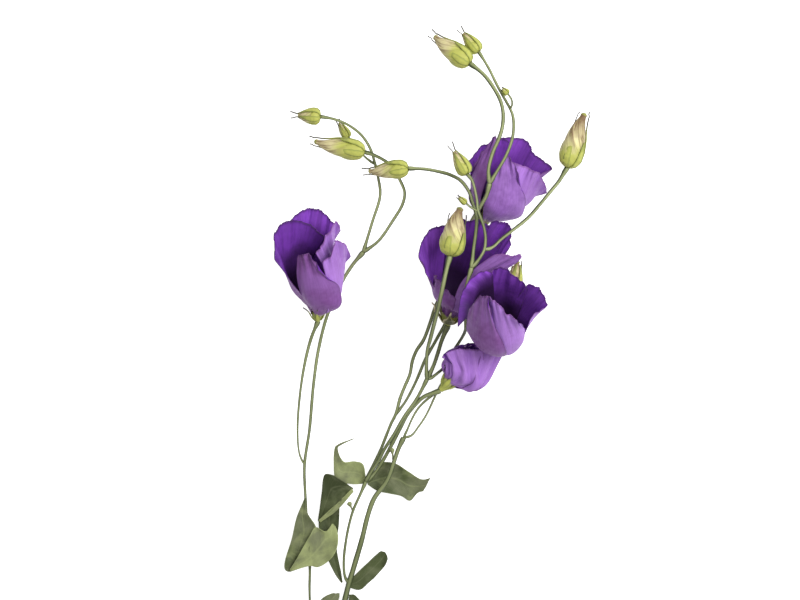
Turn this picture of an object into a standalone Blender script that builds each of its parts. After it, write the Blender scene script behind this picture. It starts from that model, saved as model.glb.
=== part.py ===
"""Lisianthus spray: a cut, branched stem with five open flowers, twelve buds and eight leaves.

The spray lies on a table at Z = 0, with its cut end at -Y. Lengths below are in millimetres.
"""

import math

import bpy
from mathutils import Vector

MM = 0.001
CENTRE = Vector((17.45, 125.11, 0.0))   # plan point of the spray that becomes the origin

# Sheets
PETAL_THICK = 0.8
LEAF_THICK = 0.8
PETAL_CELLS = (6, 6)      # across, along
LEAF_CELLS = (4, 8)
INTEGRATION_STEPS = 4     # finer steps of a petal's meridian in each cell

# Rods
TUBE_STEP = 9.0           # mm between the rings of a stem
CURVE_SUBSTEPS = 10       # points that a smooth curve has between two of its own

# Petal form, shared by every flower
CLAW_RADIUS = 4.3         # where the petals leave the calyx
CLAW_WIDTH = 0.10         # of the full width
WIDEST_AT = 0.72          # of the length
LIP_DROP = 0.20           # how much shorter a petal is at its side edges
LIP_POWER = 2.6
OVERLAP_STEP = 1.6        # a petal's right edge stands this far out, and its left edge this far in
OVERLAP_FROM = 0.14       # share of the length where that step is reached
BASE_ANGLE = 78.0         # slope of the cup where it leaves the calyx, from the flower's axis
WALL_ANGLE = 2.0
PETALS = 5

# Bud outline: place along the bud, and radius as a share of the bud's own
BUD_OUTLINE = ((0.0, 0.42), (0.06, 0.75), (0.20, 1.0), (0.42, 0.97), (0.64, 0.72), (0.84, 0.36), (1.0, 0.1))
# Calyx, ovary, style and stigma: millimetres past the petals' claws, and radius
PISTIL_OUTLINE = ((-7.0, 1.3), (-3.0, 3.0), (0.0, 3.2), (8.0, 2.9), (14.0, 1.0), (22.0, 0.9), (25.0, 2.0),
                  (27.0, 1.2))

COLOURS = {
    "petal": (0.14, 0.04, 0.26, 1.0),
    "stem": (0.24, 0.28, 0.14, 1.0),
    "bud": (0.62, 0.66, 0.22, 1.0),
    "leaf": (0.11, 0.14, 0.06, 1.0),
}


def plan(points):
    """Points in millimetres, moved so that the spray's centre is the origin."""
    return [Vector(p) - CENTRE for p in points]


def smooth(points, values):
    """A smooth curve through the points, with a value (such as a radius) carried along it."""
    ends = [points[0] * 2 - points[1]] + points + [points[-1] * 2 - points[-2]]
    out = []
    for i in range(1, len(ends) - 2):
        a, b, c, d = ends[i - 1:i + 3]
        for k in range(CURVE_SUBSTEPS):
            t = k / CURVE_SUBSTEPS
            p = 0.5 * ((2 * b) + (c - a) * t + (2 * a - 5 * b + 4 * c - d) * t ** 2
                       + (3 * b - a - 3 * c + d) * t ** 3)
            out.append((p, values[i - 1] + (values[i] - values[i - 1]) * t))
    out.append((points[-1], values[-1]))
    return out


def lengths(curve):
    """Distance along the curve to each of its points."""
    total = [0.0]
    for (a, _), (b, _) in zip(curve, curve[1:]):
        total.append(total[-1] + (b - a).length)
    return total


def at(curve, along, s):
    """Point and value at the distance s along a curve."""
    for i in range(1, len(along)):
        if s <= along[i] or i == len(along) - 1:
            t = min(1.0, max(0.0, (s - along[i - 1]) / max(1e-9, along[i] - along[i - 1])))
            (a, ra), (b, rb) = curve[i - 1], curve[i]
            return a.lerp(b, t), ra + (rb - ra) * t
    return curve[0]


def material(name, kind):
    """A plain Principled material for one sub-part."""
    mat = bpy.data.materials.new(name)
    mat.use_nodes = True
    shader = mat.node_tree.nodes["Principled BSDF"]
    shader.inputs["Base Color"].default_value = COLOURS[kind]
    shader.inputs["Roughness"].default_value = 0.6
    shader.inputs["Metallic"].default_value = 0.0
    return mat


def rod(name, rings, kind):
    """A closed round rod through (point, radius) rings."""
    curve = bpy.data.curves.new(name, "CURVE")
    curve.dimensions = "3D"
    curve.bevel_depth = MM
    curve.bevel_resolution = 2
    curve.use_fill_caps = True
    spline = curve.splines.new("POLY")
    spline.points.add(len(rings) - 1)
    for point, (place, radius) in zip(spline.points, rings):
        point.co = (*(place * MM), 1.0)
        point.radius = radius
    obj = bpy.data.objects.new(name, curve)
    bpy.context.collection.objects.link(obj)
    curve.materials.append(material(name, kind))
    return obj


def stalk_rings(route, radii, start=0.0, stop=None):
    """Evenly spaced rings along a stem, from start to stop."""
    curve = smooth(plan(route), radii)
    along = lengths(curve)
    stop = along[-1] if stop is None else stop
    count = max(2, round((stop - start) / TUBE_STEP))
    return [at(curve, along, start + (stop - start) * i / count) for i in range(count + 1)]


def spread(first, last, count):
    """Evenly changing radii for a route of count points."""
    return [first + (last - first) * i / (count - 1) for i in range(count)]


def stem(name, route, first, last, gap=0.0):
    """A stem whose radius runs from first to last; gap is left free at its start."""
    return rod(name, stalk_rings(route, spread(first, last, len(route)), gap), "stem")


def bud(name, route, tip, first, last, radius, gap):
    """A bud on its stalk. The route ends at the bud's base."""
    rings = stalk_rings(route, spread(first, last, len(route)), gap)
    base = rings[-1][0]
    axis = plan([tip])[0] - base
    rings = rings[:-1] + [(base + axis * t, max(0.25, radius * share)) for t, share in BUD_OUTLINE]
    return rod(name, rings, "bud")


class Flower:
    """One open flower: where its cup stands and the form that its petals share."""

    def __init__(self, name, base, heading, rise, turn, lean, belly, flares, sizes):
        self.name = name
        self.base = plan([base])[0]
        up = math.radians(rise)
        flat = Vector((heading[0], heading[1], 0.0)).normalized()
        self.axis = flat * math.cos(up) + Vector((0, 0, math.sin(up)))
        self.right = Vector((flat.y, -flat.x, 0.0))
        self.back = self.axis.cross(self.right)
        self.turn = turn
        self.lean = lean
        self.belly = belly
        self.flares = flares
        self.sizes = sizes

    def azimuth(self, i):
        return self.turn + i * 360.0 / PETALS

    def flare(self, azimuth):
        """Flare of the lip at an azimuth, easing from each petal's own to the next one's."""
        place = ((azimuth - self.turn) / 360.0 * PETALS) % PETALS
        i = int(place)
        t = place - i
        t = t * t * (3 - 2 * t)
        return self.flares[i % PETALS] * (1 - t) + self.flares[(i + 1) % PETALS] * t

    def slope(self, s, azimuth):
        """Angle between the cup's wall and the axis, s millimetres up from the claw."""
        t = min(1.0, s / self.belly)
        t = t * t * (3 - 2 * t)
        angle = BASE_ANGLE + (WALL_ANGLE - BASE_ANGLE) * t
        f = max(0.0, (s - 30.0) / 30.0)
        return math.radians(angle + self.flare(azimuth) * f * f * (3 - 2 * min(1.0, f)))

    def point(self, radius, height, azimuth):
        a = math.radians(azimuth)
        return (self.base + self.axis * height
                + (self.right * math.cos(a) + self.back * math.sin(a)) * radius)


def half_width(v, width):
    """Half the width of a petal at the share v of its length."""
    grow = math.sin(math.pi / 2 * min(1.0, v / WIDEST_AT)) ** 1.25
    past = max(0.0, v - WIDEST_AT)
    return width / 2 * (CLAW_WIDTH + (1 - CLAW_WIDTH) * grow) * (1 - 0.9 * past * past)


def petal_point(flower, i, u, v):
    """A point of petal i, u across from -1 to 1 and v along from 0 to 1."""
    length, width = flower.sizes[i]
    reach = length * v * (1 - LIP_DROP * abs(u) ** LIP_POWER)
    steps = max(1, int(INTEGRATION_STEPS * PETAL_CELLS[1] * v))
    radius, height = CLAW_RADIUS, 0.0
    side = u * half_width(v, width)
    azimuth = flower.azimuth(i)
    for k in range(steps):
        s = reach * (k + 0.5) / steps
        here = azimuth + math.degrees(side / max(radius, 6.0)) + flower.lean * s / length
        angle = flower.slope(s, here)
        radius += math.sin(angle) * reach / steps
        height += math.cos(angle) * reach / steps
    here = azimuth + math.degrees(side / max(radius, 6.0)) + flower.lean * reach / length
    angle = flower.slope(reach, here)
    out = OVERLAP_STEP * u * min(1.0, v / OVERLAP_FROM)
    return flower.point(radius + out * math.cos(angle), height - out * math.sin(angle), here)


def sheet(name, cells, place, thick, kind):
    """A closed thin sheet over a grid of points place(u, v)."""
    across, along = cells
    verts = []
    for j in range(along + 1):
        for i in range(across + 1):
            verts.append(place(2 * i / across - 1, j / along) * MM)
    faces = []
    for j in range(along):
        for i in range(across):
            a = j * (across + 1) + i
            faces.append((a, a + 1, a + across + 2, a + across + 1))
    mesh = bpy.data.meshes.new(name)
    mesh.from_pydata(verts, [], faces)
    mesh.shade_smooth()
    obj = bpy.data.objects.new(name, mesh)
    bpy.context.collection.objects.link(obj)
    mesh.materials.append(material(name, kind))
    solid = obj.modifiers.new("Thickness", "SOLIDIFY")
    solid.thickness = thick * MM
    solid.offset = 0.0
    solid.use_even_offset = False
    return obj


def leaf(name, rib, left, right, tilt):
    """A leaf along its rib, with half widths and a tilt of its blade at each rib point."""
    centre = smooth(plan(rib), [0.0] * len(rib))
    sides = [smooth([Vector((v, 0, 0)) for v in values], values) for values in (left, right, tilt)]
    last = len(centre) - 1

    def place(u, v):
        k = min(last, round(v * last))
        before = centre[max(0, k - 1)][0]
        after = centre[min(last, k + 1)][0]
        tangent = (after - before).normalized()
        level = tangent.cross(Vector((0, 0, 1))).normalized()
        up = level.cross(tangent)
        turn = math.radians(sides[2][k][0].x)
        out = level * math.cos(turn) + up * math.sin(turn)
        wide = sides[1][k][0].x if u > 0 else sides[0][k][0].x
        return centre[k][0] + out * (u * wide)

    return sheet(name, LEAF_CELLS, place, LEAF_THICK, "leaf")


def flower_stalk(flower, route, first, last, gap):
    """Stalk, calyx, ovary, style and stigma of one flower, as one rod."""
    lead = flower.base + flower.axis * PISTIL_OUTLINE[0][0] + CENTRE
    path = route + [tuple(lead)]
    rings = stalk_rings(path, spread(first, last, len(path)), gap)[:-1]
    rings += [(flower.base + flower.axis * s, r) for s, r in PISTIL_OUTLINE]
    return rod(flower.name + "_stalk", rings, "stem")


def petals(flower):
    for i in range(PETALS):
        sheet(f"{flower.name}_petal_{i + 1}", PETAL_CELLS,
              lambda u, v, i=i: petal_point(flower, i, u, v), PETAL_THICK, "petal")


LEFT_FLOWER = Flower("left_flower", (-49.8, 172.5, 12.62), (-0.07, 1.0), 28.0, -85.0, -32.0, 24.0,
                     (4, 14, 10, 6, 16), ((56, 40), (60, 40), (64, 42), (64, 42), (60, 38)))
MIDDLE_FLOWER = Flower("middle_flower", (30.0, 171.0, 15.5), (0.17, 0.98), 38.0, -40.0, -22.0, 22.0,
                       (30, 26, 14, 14, 8), ((43, 34), (60, 42), (64, 42), (60, 40), (44, 36)))
UPPER_FLOWER = Flower("upper_flower", (49.8, 229.0, 14.62), (0.40, 0.92), 12.0, -80.0, -28.0, 20.0,
                      (13, 22, 18, 10, 12), ((52, 42), (56, 42), (56, 40), (54, 42), (54, 42)))
FRONT_FLOWER = Flower("front_flower", (58.5, 151.0, 34.0), (0.12, 0.99), 50.0, -120.0, -20.0, 22.0,
                      (14, 14, 24, 14, 34), ((52, 40), (54, 40), (54, 38), (56, 42), (56, 38)))
LOW_FLOWER = Flower("low_flower", (29.6, 131.4, 20.6), (0.68, 0.73), 4.0, -70.0, -28.0, 15.0,
                    (0, 0, 0, 0, 0), ((30, 30), (30, 30), (30, 30), (30, 30), (30, 30)))

LEFT_JOIN = (-44.4, -48.0, 2.4)


def stems():
    stem("main_stem", [(-49.2, -90, 2.1), (-46.8, -69, 2.1), LEFT_JOIN, (-39, -24, 3.2), (-34.2, -4.8, 4.4),
                       (-30.9, 9, 6), (-28.2, 18, 7), (-22.8, 36.6, 9), (-19.4, 50.4, 10), (-15.6, 60.6, 10.5),
                       (-7.8, 71.4, 11.5), (-3.8, 82.2, 12.5), (-1.2, 90, 13), (2.1, 97.2, 13)], 2.0, 1.2)
    stem("left_branch", [LEFT_JOIN, (-50.4, -24, 2.2), (-54, -6, 2.6), (-54.6, 6, 3), (-54.4, 18, 3.4),
                         (-55.8, 39, 3.8), (-57, 60, 4), (-57.6, 80.4, 4), (-54.6, 102, 4), (-52.2, 129, 3.8),
                         (-49.2, 150, 3.4), (-43.8, 171, 2.6), (-36, 189, 2.6), (-28.8, 201, 4),
                         (-22.2, 208.8, 6)], 0.8, 1.2, 10.0)
    stem("middle_branch", [(-30.9, 9, 6), (-33.2, 13.2, 7.5), (-33.9, 22.8, 9), (-32.5, 35.4, 10.5),
                           (-30.6, 45, 11), (-28.2, 53.4, 11), (-23.4, 64.2, 11), (-20.7, 70.8, 11)], 0.8, 0.9, 5.0)
    stem("lower_fork_stem", [(-20.7, 70.8, 11), (-18.4, 76.2, 10), (-14.8, 83.4, 9.5), (-11.8, 89.6, 9.5),
                             (-7.8, 99.6, 10), (-5.4, 105.6, 10.5), (-2.7, 111, 11), (0, 120.8, 11),
                             (3, 128.4, 11), (5.9, 135.2, 10.5), (7.4, 143.2, 10), (9.8, 149.4, 9.5),
                             (14.2, 156, 7.4), (18.3, 166.8, 5.4), (20.6, 174, 4.4), (27, 189, 4.4),
                             (34.8, 210, 10.5), (43, 227.4, 27), (48, 236, 36), (51.6, 242.4, 39.5),
                             (53.6, 249.7, 41.5)], 1.0, 1.3, 2.4)
    stem("upper_fork_stem", [(-20.7, 70.8, 11), (-17.2, 76.8, 13.5), (-13.2, 82.8, 15), (-9.6, 90, 16),
                             (-4.2, 98.4, 17), (3, 110.7, 17.5), (7.7, 117.1, 18), (11.7, 123.6, 19),
                             (16.2, 132.6, 21)], 1.1, 1.1, 4.0)
    stem("crossing_stem", [(16.2, 132.6, 21), (18.6, 133.2, 20), (23, 136.4, 16.5), (26.6, 139.6, 9),
                           (29.4, 144.6, 5.4), (33.2, 150.8, 5.4), (36.8, 156.4, 8), (39, 161, 18),
                           (39.2, 166, 34.5), (39, 178, 49.5), (39.6, 188.4, 54.6), (42.6, 199.2, 55)],
         0.7, 1.1, 2.6)


def flower_stalks():
    flower_stalk(LEFT_FLOWER, [(-57.6, 80.4, 4), (-60.6, 87, 5), (-61.8, 102, 5), (-60, 126, 4.5),
                               (-57, 144, 4), (-53.6, 157, 4)], 0.7, 1.2, 3.0)
    flower_stalk(MIDDLE_FLOWER, [(16.2, 132.6, 21), (19.8, 139.8, 18), (22.4, 147, 14),
                                 (25.2, 156, 11)], 1.1, 1.3, 2.6)
    flower_stalk(UPPER_FLOWER, [(-2.7, 111, 11), (3.2, 118.8, 8), (7.9, 127.4, 6.4), (11.7, 135.8, 6),
                                (15, 143.8, 5.5), (21.8, 156, 4.5), (28.8, 169.2, 4), (33.6, 186, 4),
                                (39.6, 207, 6)], 0.9, 1.2, 5.0)
    flower_stalk(FRONT_FLOWER, [(2.1, 97.2, 13), (4.2, 101.6, 12.5), (7, 108, 11), (10.4, 114, 9),
                                (14.8, 118.8, 7), (24.2, 126, 3), (33, 133.2, 1.5), (43, 139.5, 1.4),
                                (53, 142.6, 1.8), (60, 143.6, 6), (60.4, 144, 16)], 0.8, 1.1, 1.2)
    flower_stalk(LOW_FLOWER, [(-20.7, 70.8, 11), (-16.6, 74.2, 8), (-10.5, 83, 9.5), (-5, 93, 12),
                              (-0.4, 102, 14), (4.7, 111.6, 14.4), (9.2, 117.1, 15.6),
                              (14.2, 121.8, 18.6)], 1.1, 1.2, 4.4)


def buds():
    fork = (-22.2, 208.8, 6)
    bud("left_long_bud", [fork, (-16.8, 226.8, 8), (-12, 243, 10), (-13.2, 253.8, 12), (-15.6, 264, 13),
                          (-18, 271.2, 14), (-22.8, 278.7, 14), (-30.6, 285, 13), (-39.6, 288.8, 12),
                          (-48, 290.4, 11)], (-61.5, 291.6, 9), 0.9, 0.8, 4.6, 2.2)
    bud("left_near_bud", [fork, (-13.2, 215.4, 8), (-4.2, 228, 12), (1.5, 237.6, 16), (2.8, 244.8, 19.5),
                          (0, 252, 22), (-3.6, 258.6, 23), (-7.8, 262.8, 23), (-16.2, 267.3, 22),
                          (-21.3, 268.9, 21)], (-51.5, 276, 18), 0.9, 1.0, 5.6, 4.8)
    bud("left_small_bud", [(-15.6, 262, 12.8), (-18, 263.6, 10.5), (-21.3, 266.4, 9), (-27, 272.4, 7.2),
                           (-31.2, 278, 6)], (-36.6, 287.1, 5), 0.6, 0.6, 2.4, 2.4)
    joint = (42.6, 199.2, 55)
    bud("crossing_bud", [joint, (43.2, 204, 53.4), (43.8, 210.3, 51.8), (45, 219, 51.5), (45.7, 227.4, 51.5),
                         (45.2, 231.6, 51.5), (43.2, 238.2, 51), (41.3, 244.2, 50), (36, 251.4, 47.5),
                         (30, 254.7, 45.5), (26.8, 255.8, 44.5), (15.3, 258.2, 41), (4.8, 258.7, 38)],
        (-19, 257.5, 31), 1.1, 1.0, 5.0, 1.8)
    bud("centre_bud", [joint, (45.8, 202.6, 55), (48.4, 206.4, 56), (50.2, 210, 56), (50.9, 216.8, 56),
                       (49.8, 223.8, 56), (47.5, 230.3, 56.5), (46.4, 233.4, 56.5), (45.6, 240.6, 56),
                       (42.8, 251.4, 55.5), (39.9, 255, 55)], (32.5, 268.8, 53), 1.0, 0.8, 4.2, 4.2)
    bud("tiny_bud", [(46.6, 233.0, 56), (44, 234, 57.5), (40.9, 236.1, 58), (39.3, 237.6, 58)],
        (34.8, 241.2, 58.5), 0.4, 0.4, 1.3, 1.9)
    bud("right_bud", [(50.4, 210.2, 56), (53.2, 210.6, 53.5), (56.3, 212.4, 51), (60, 216, 50),
                      (65, 219.9, 49), (76.6, 229.2, 46.5), (84, 237.6, 45), (90, 244.9, 43.5),
                      (95, 251, 42.5), (98.7, 257.1, 42), (100.2, 259.2, 42)], (111, 291.6, 42),
        0.9, 1.2, 6.6, 1.6)
    bud("front_bud", [(16.2, 132.6, 21), (15.8, 139.4, 25), (16.4, 150, 31), (18.2, 157.2, 37),
                      (20.6, 166.8, 43.5), (23, 176.4, 49), (25.2, 186.6, 52.5), (28.2, 200.4, 53.5),
                      (29.8, 206.4, 53.5)], (36.6, 235.2, 52), 1.0, 1.4, 7.0, 2.6)
    top = (53.6, 249.7, 41.5)
    bud("top_bud", [top, (52.8, 257.4, 45), (55.1, 267.4, 47), (58.8, 276, 47), (60.9, 282.6, 46.4),
                    (61.6, 290.6, 45.4), (60.2, 298.4, 43.4), (56.1, 306.6, 41), (51, 313.8, 39),
                    (46.2, 318.3, 37), (41.7, 321.6, 35)], (20.7, 338.7, 28), 1.1, 1.2, 6.0, 2.0)
    bud("top_right_bud", [top, (58, 257, 43.4), (63.4, 266.4, 45.8), (66.9, 276, 44.6), (67.9, 284.4, 42),
                          (67.2, 291, 39.4), (65.7, 294.7, 38.5), (61.6, 302.1, 37), (57.9, 309, 35.5),
                          (53.4, 318.3, 33), (49.2, 325.5, 31), (47.1, 328.8, 30)], (38.1, 340.2, 27),
        1.0, 0.8, 4.0, 4.6)
    bud("top_small_bud", [(65.9, 294.4, 38.6), (67, 296.6, 41), (66.6, 300, 42), (64.4, 303.2, 42)],
        (61, 306.4, 42), 0.45, 0.45, 1.6, 2.2)
    bud("hidden_bud", [(2.1, 97.2, 13), (6.8, 98.4, 11.5), (11.2, 103.8, 10.5), (15.5, 110.2, 9.6),
                       (18.8, 116.9, 8.8), (21, 121.8, 8), (24.6, 129, 6), (33, 141, 2.4),
                       (45, 153, 3.6), (58.2, 169.2, 14), (66, 181.8, 20), (67.8, 186, 22)],
        (71.2, 203.4, 26), 0.6, 0.7, 4.2, 2.4)


def leaves():
    leaf("left_leaf_grey", [(-54.4, 20.6, 5.0), (-59, 28, 7), (-59.4, 40, 9), (-58.6, 52, 7.5), (-57.2, 61.5, 6)],
         (2, 9.5, 6.5, 3.6, 0.4), (2, 5, 4, 2, 0.4), (0, -20, -25, -20, -10))
    leaf("left_leaf_light", [(-50.6, 22.2, 5.6), (-47.0, 27, 7.5), (-44, 33, 10), (-41.6, 39, 11),
                             (-39.8, 44.8, 9)],
         (2, 7, 7, 4, 0.4), (2, 5.5, 6, 4, 0.4), (0, 10, 25, 15, 0))
    leaf("long_dark_leaf", [(-36.2, 10.2, 8.4), (-40.6, 21, 7.2), (-42.6, 34, 4), (-42.2, 48, 2.6),
                            (-38.6, 62, 4), (-33.6, 71.5, 7)],
         (1.2, 3, 4, 7.5, 9.5, 0.4), (1.2, 3, 4, 7, 5, 0.4), (40, 40, 25, 5, 0, 0))
    leaf("curled_leaf", [(-22.2, 70.4, 8.2), (-27.5, 75.6, 6.2), (-33, 76.4, 5.4), (-38, 80, 7.5),
                         (-38.4, 88.2, 14), (-28.6, 96.6, 17)],
         (2, 7, 7.4, 4.5, 1.6, 0.3), (2, 6, 6.6, 4.5, 1.6, 0.3), (0, 5, 10, 25, 40, 40))
    leaf("right_leaf", [(-17, 66.6, 6.2), (-9, 72, 5), (0, 71.4, 4), (9, 66.6, 2.6), (18.6, 72, 4.6)],
         (1.6, 9, 8, 4.5, 0.4), (1.6, 6.5, 9.4, 7, 0.4), (0, 5, 0, -5, 0))
    leaf("low_right_leaf", [(-27.6, 8.6, 4.6), (-22.6, 14.5, 4), (-16.5, 21.5, 3.4), (-8.6, 28.6, 4)],
         (1.4, 4.6, 4.4, 0.4), (1.4, 5.4, 4.4, 0.4), (0, 20, 15, 0))
    leaf("foot_left_leaf", [(-36.8, 0.4, 5.6), (-42.6, -3.4, 5.4), (-46.6, -12, 2), (-48.4, -22, 0.42)],
         (1.4, 4.8, 5, 0.4), (1.4, 4.4, 4.6, 0.4), (0, 10, 10, 0))
    leaf("foot_right_leaf", [(-29.8, 0.2, 4.6), (-25.8, -3.4, 5), (-22.4, -12, 2.4), (-20.4, -22, 0.42)],
         (1.4, 4.8, 5.4, 0.4), (1.4, 4.6, 5.2, 0.4), (0, -10, -10, 0))


def main():
    for obj in list(bpy.data.objects):
        bpy.data.objects.remove(obj, do_unlink=True)
    stems()
    flower_stalks()
    for flower in (LEFT_FLOWER, MIDDLE_FLOWER, UPPER_FLOWER, FRONT_FLOWER, LOW_FLOWER):
        petals(flower)
    buds()
    leaves()


main()
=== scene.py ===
"""Lisianthus spray: the looks of a cut, branched flower stem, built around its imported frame.

Lengths in the tables are millimetres on the plan of the spray, which CENTRE moves to the frame's origin.
"""

import math

import bpy
import numpy as np
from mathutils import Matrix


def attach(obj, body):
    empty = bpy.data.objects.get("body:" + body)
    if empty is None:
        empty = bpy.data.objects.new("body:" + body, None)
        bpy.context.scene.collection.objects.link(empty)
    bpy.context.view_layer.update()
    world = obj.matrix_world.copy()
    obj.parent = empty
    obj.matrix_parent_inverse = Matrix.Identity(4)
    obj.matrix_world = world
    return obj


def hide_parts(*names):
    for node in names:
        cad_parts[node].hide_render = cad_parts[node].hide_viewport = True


bl_info = {
    "name": "Lisianthus Spray",
    "version": (1, 0, 0),
    "blender": (4, 5, 0),
    "location": "View3D > Sidebar > Spray",
    "description": "Builds a lisianthus spray with five open flowers, buds and leaves",
    "category": "Add Mesh",
}

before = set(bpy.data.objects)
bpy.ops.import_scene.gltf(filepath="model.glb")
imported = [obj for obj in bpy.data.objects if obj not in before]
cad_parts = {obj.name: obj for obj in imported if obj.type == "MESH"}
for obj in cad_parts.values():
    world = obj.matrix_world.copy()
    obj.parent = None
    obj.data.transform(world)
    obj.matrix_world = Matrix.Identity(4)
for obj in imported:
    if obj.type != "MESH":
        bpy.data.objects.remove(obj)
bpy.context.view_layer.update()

MM = 0.001
CENTRE = np.array((17.45, 125.11, 0.0))
LOWEST = 0.35

# A bud's petals: how many are furled, and how far each winds round from foot to tip, in turns.
FURLS = 3
WIND = 0.47

# Stage: the soft light's place, the sensor's width in mm and the camera's far limit, both for the lens,
# and the spray's middle on its plan.
KEY_PLACE = (0.9, 0.5, 1.5)
SENSOR_WIDTH = 36.0
FARTHEST_VIEW = 100.0
VIEW_MIDDLE = (0, 180, 25)


# ---------------------------------------------------------------- settings

def colour(label, text, value):
    return bpy.props.FloatVectorProperty(name=label, description=text, default=value, size=3,
                                         min=0.0, max=1.0, subtype="COLOR")


def length(label, text, value):
    return bpy.props.FloatProperty(name=label, description=text, default=value, min=0.0,
                                   unit="LENGTH", subtype="DISTANCE", precision=5)


def share(label, text, value):
    return bpy.props.FloatProperty(name=label, description=text, default=value, min=0.0, max=1.0,
                                   subtype="FACTOR")


def count(label, text, value):
    return bpy.props.IntProperty(name=label, description=text, default=value, min=3)


class SprayStageSettings(bpy.types.PropertyGroup):
    floor_size: length("Floor size", "Side of the square floor", 14.0)
    floor_colour: colour("Floor colour", "Colour of the floor", (0.9, 0.9, 0.9))
    floor_glow: share("Floor glow", "How much the floor shines by itself, as a light table does", 0.8)
    sky: share("Sky light", "Strength of the even light from all round", 0.5)
    key_power: bpy.props.FloatProperty(name="Key light", description="Power of the large soft light",
                                       default=30.0, min=0.0, unit="POWER")
    key_size: length("Key light size", "Side of the large soft light", 1.2)
    camera_height: length("Camera height", "Height of the camera above the spray's middle", 4.0)
    focal: bpy.props.FloatProperty(name="Focal length", description="Camera's focal length in mm",
                                   default=300.0, min=10.0)


class SprayPetalSettings(bpy.types.PropertyGroup):
    across: count("Cells across", "Mesh cells across a petal", 52)
    along: count("Cells along", "Mesh cells along a petal", 60)
    thickness: length("Thickness", "Thickness of a petal", 0.00036)
    ruffle: length("Ruffle", "Height of the waves along the lip", 0.0008)
    pleat: length("Pleat", "Height of the folds that run along a petal", 0.00022)
    mauve: colour("Mauve", "Outer face in its greyer, duller places", (0.20, 0.068, 0.26))
    lilac: colour("Lilac", "Outer face where it is pale", (0.42, 0.205, 0.64))
    violet: colour("Violet", "Inner face near the lip", (0.21, 0.05, 0.46))
    bright: colour("Bright violet", "Inner face where it is brightest", (0.31, 0.085, 0.63))
    # Plum is the painted shade deep in a petal's cup, and also the colour of the inner faces' veins and
    # darker lip.
    plum: colour("Plum", "Inner face deep in the cup", (0.028, 0.010, 0.045))
    claw: colour("Claw", "Pale foot of a petal", (0.56, 0.50, 0.36))


class SprayStemSettings(bpy.types.PropertyGroup):
    sides: count("Sides", "Sides of a stem's ring", 14)
    ring_gap: length("Ring gap", "Distance between the rings of a stem", 0.0016)
    # Light green is also the painted highlight along a stem's top and underside; dark green is also the
    # painted shade on its flanks.
    light: colour("Light green", "Stem where it is pale", (0.35, 0.39, 0.18))
    dark: colour("Dark green", "Stem where it is dark", (0.05, 0.068, 0.022))


class SprayBudSettings(bpy.types.PropertyGroup):
    sides: count("Sides", "Sides of a bud's ring", 60)
    furl: share("Furl", "Depth of the furled petals' steps as a share of the radius", 0.2)
    lime: colour("Lime", "Foot of a bud", (0.52, 0.54, 0.12))
    cream: colour("Cream", "Body of a bud", (0.78, 0.70, 0.38))
    tan: colour("Tan", "Tip and streaks of a bud", (0.22, 0.13, 0.07))
    sepal: colour("Sepal", "Edges of the sepals", (0.30, 0.34, 0.08))
    thread: colour("Thread", "Dry tips of the sepals", (0.06, 0.05, 0.06))


class SprayLeafSettings(bpy.types.PropertyGroup):
    across: count("Cells across", "Mesh cells across a leaf", 26)
    along: count("Cells along", "Mesh cells along a leaf", 60)
    thickness: length("Thickness", "Thickness of a leaf", 0.0005)
    grey: colour("Grey green", "Duller places of a leaf", (0.17, 0.185, 0.10))
    dark: colour("Dark green", "Darker places of a leaf", (0.075, 0.095, 0.035))
    light: colour("Light green", "Paler places of a leaf", (0.31, 0.35, 0.15))


# ---------------------------------------------------------------- curves and surfaces

def spot(point):
    """A plan point in millimetres, moved so that the spray's centre is the origin."""
    return np.array(point, float) - CENTRE


def through(points, knots, where):
    """Smooth curve through points at their knots, read at each value of where."""
    points = np.array(points, float)
    knots = np.array(knots, float)
    where = np.atleast_1d(np.asarray(where, float))
    steps = np.diff(knots)
    slopes = np.diff(points, axis=0) / steps.reshape((-1,) + (1,) * (points.ndim - 1))
    tangents = np.empty_like(points)
    tangents[0], tangents[-1] = slopes[0], slopes[-1]
    for k in range(1, len(points) - 1):
        a, b = steps[k - 1], steps[k]
        tangents[k] = (slopes[k - 1] * b + slopes[k] * a) / (a + b)
    part = np.clip(np.searchsorted(knots, where, side="right") - 1, 0, len(steps) - 1)
    shape = (-1,) + (1,) * (points.ndim - 1)
    width = steps[part].reshape(shape)
    t = ((where - knots[part]) / steps[part]).reshape(shape)
    return (points[part] * (1 + 2 * t) * (1 - t) ** 2 + tangents[part] * width * t * (1 - t) ** 2
            + points[part + 1] * t * t * (3 - 2 * t) + tangents[part + 1] * width * t * t * (t - 1))


def ease(low, high, value):
    t = np.clip((value - low) / (high - low), 0.0, 1.0)
    return t * t * (3 - 2 * t)


def waves(value, scales, seed):
    """A sum of sines with seeded phases, about 1 high."""
    turn = np.random.RandomState(seed).uniform(0, 2 * math.pi, len(scales))
    return sum(np.sin(value * k + p) for k, p in zip(scales, turn)) / math.sqrt(len(scales))


def unit(vectors):
    return vectors / np.maximum(np.linalg.norm(vectors, axis=-1, keepdims=True), 1e-9)


def route_curve(points, radii, gap):
    """Evenly spaced centres and radii along a smooth curve through the points."""
    points = np.array([spot(p) for p in points])
    radii = np.array(radii, float)
    chord = np.concatenate([[0], np.cumsum(np.linalg.norm(np.diff(points, axis=0), axis=1) ** 0.5)])
    fine = through(np.column_stack([points, radii]), chord, np.linspace(0, chord[-1], 12 * len(points)))
    run = np.concatenate([[0], np.cumsum(np.linalg.norm(np.diff(fine[:, :3], axis=0), axis=1))])
    even = np.linspace(0, run[-1], max(4, round(run[-1] / gap)))
    return np.column_stack([np.interp(even, run, fine[:, k]) for k in range(4)])


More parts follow.
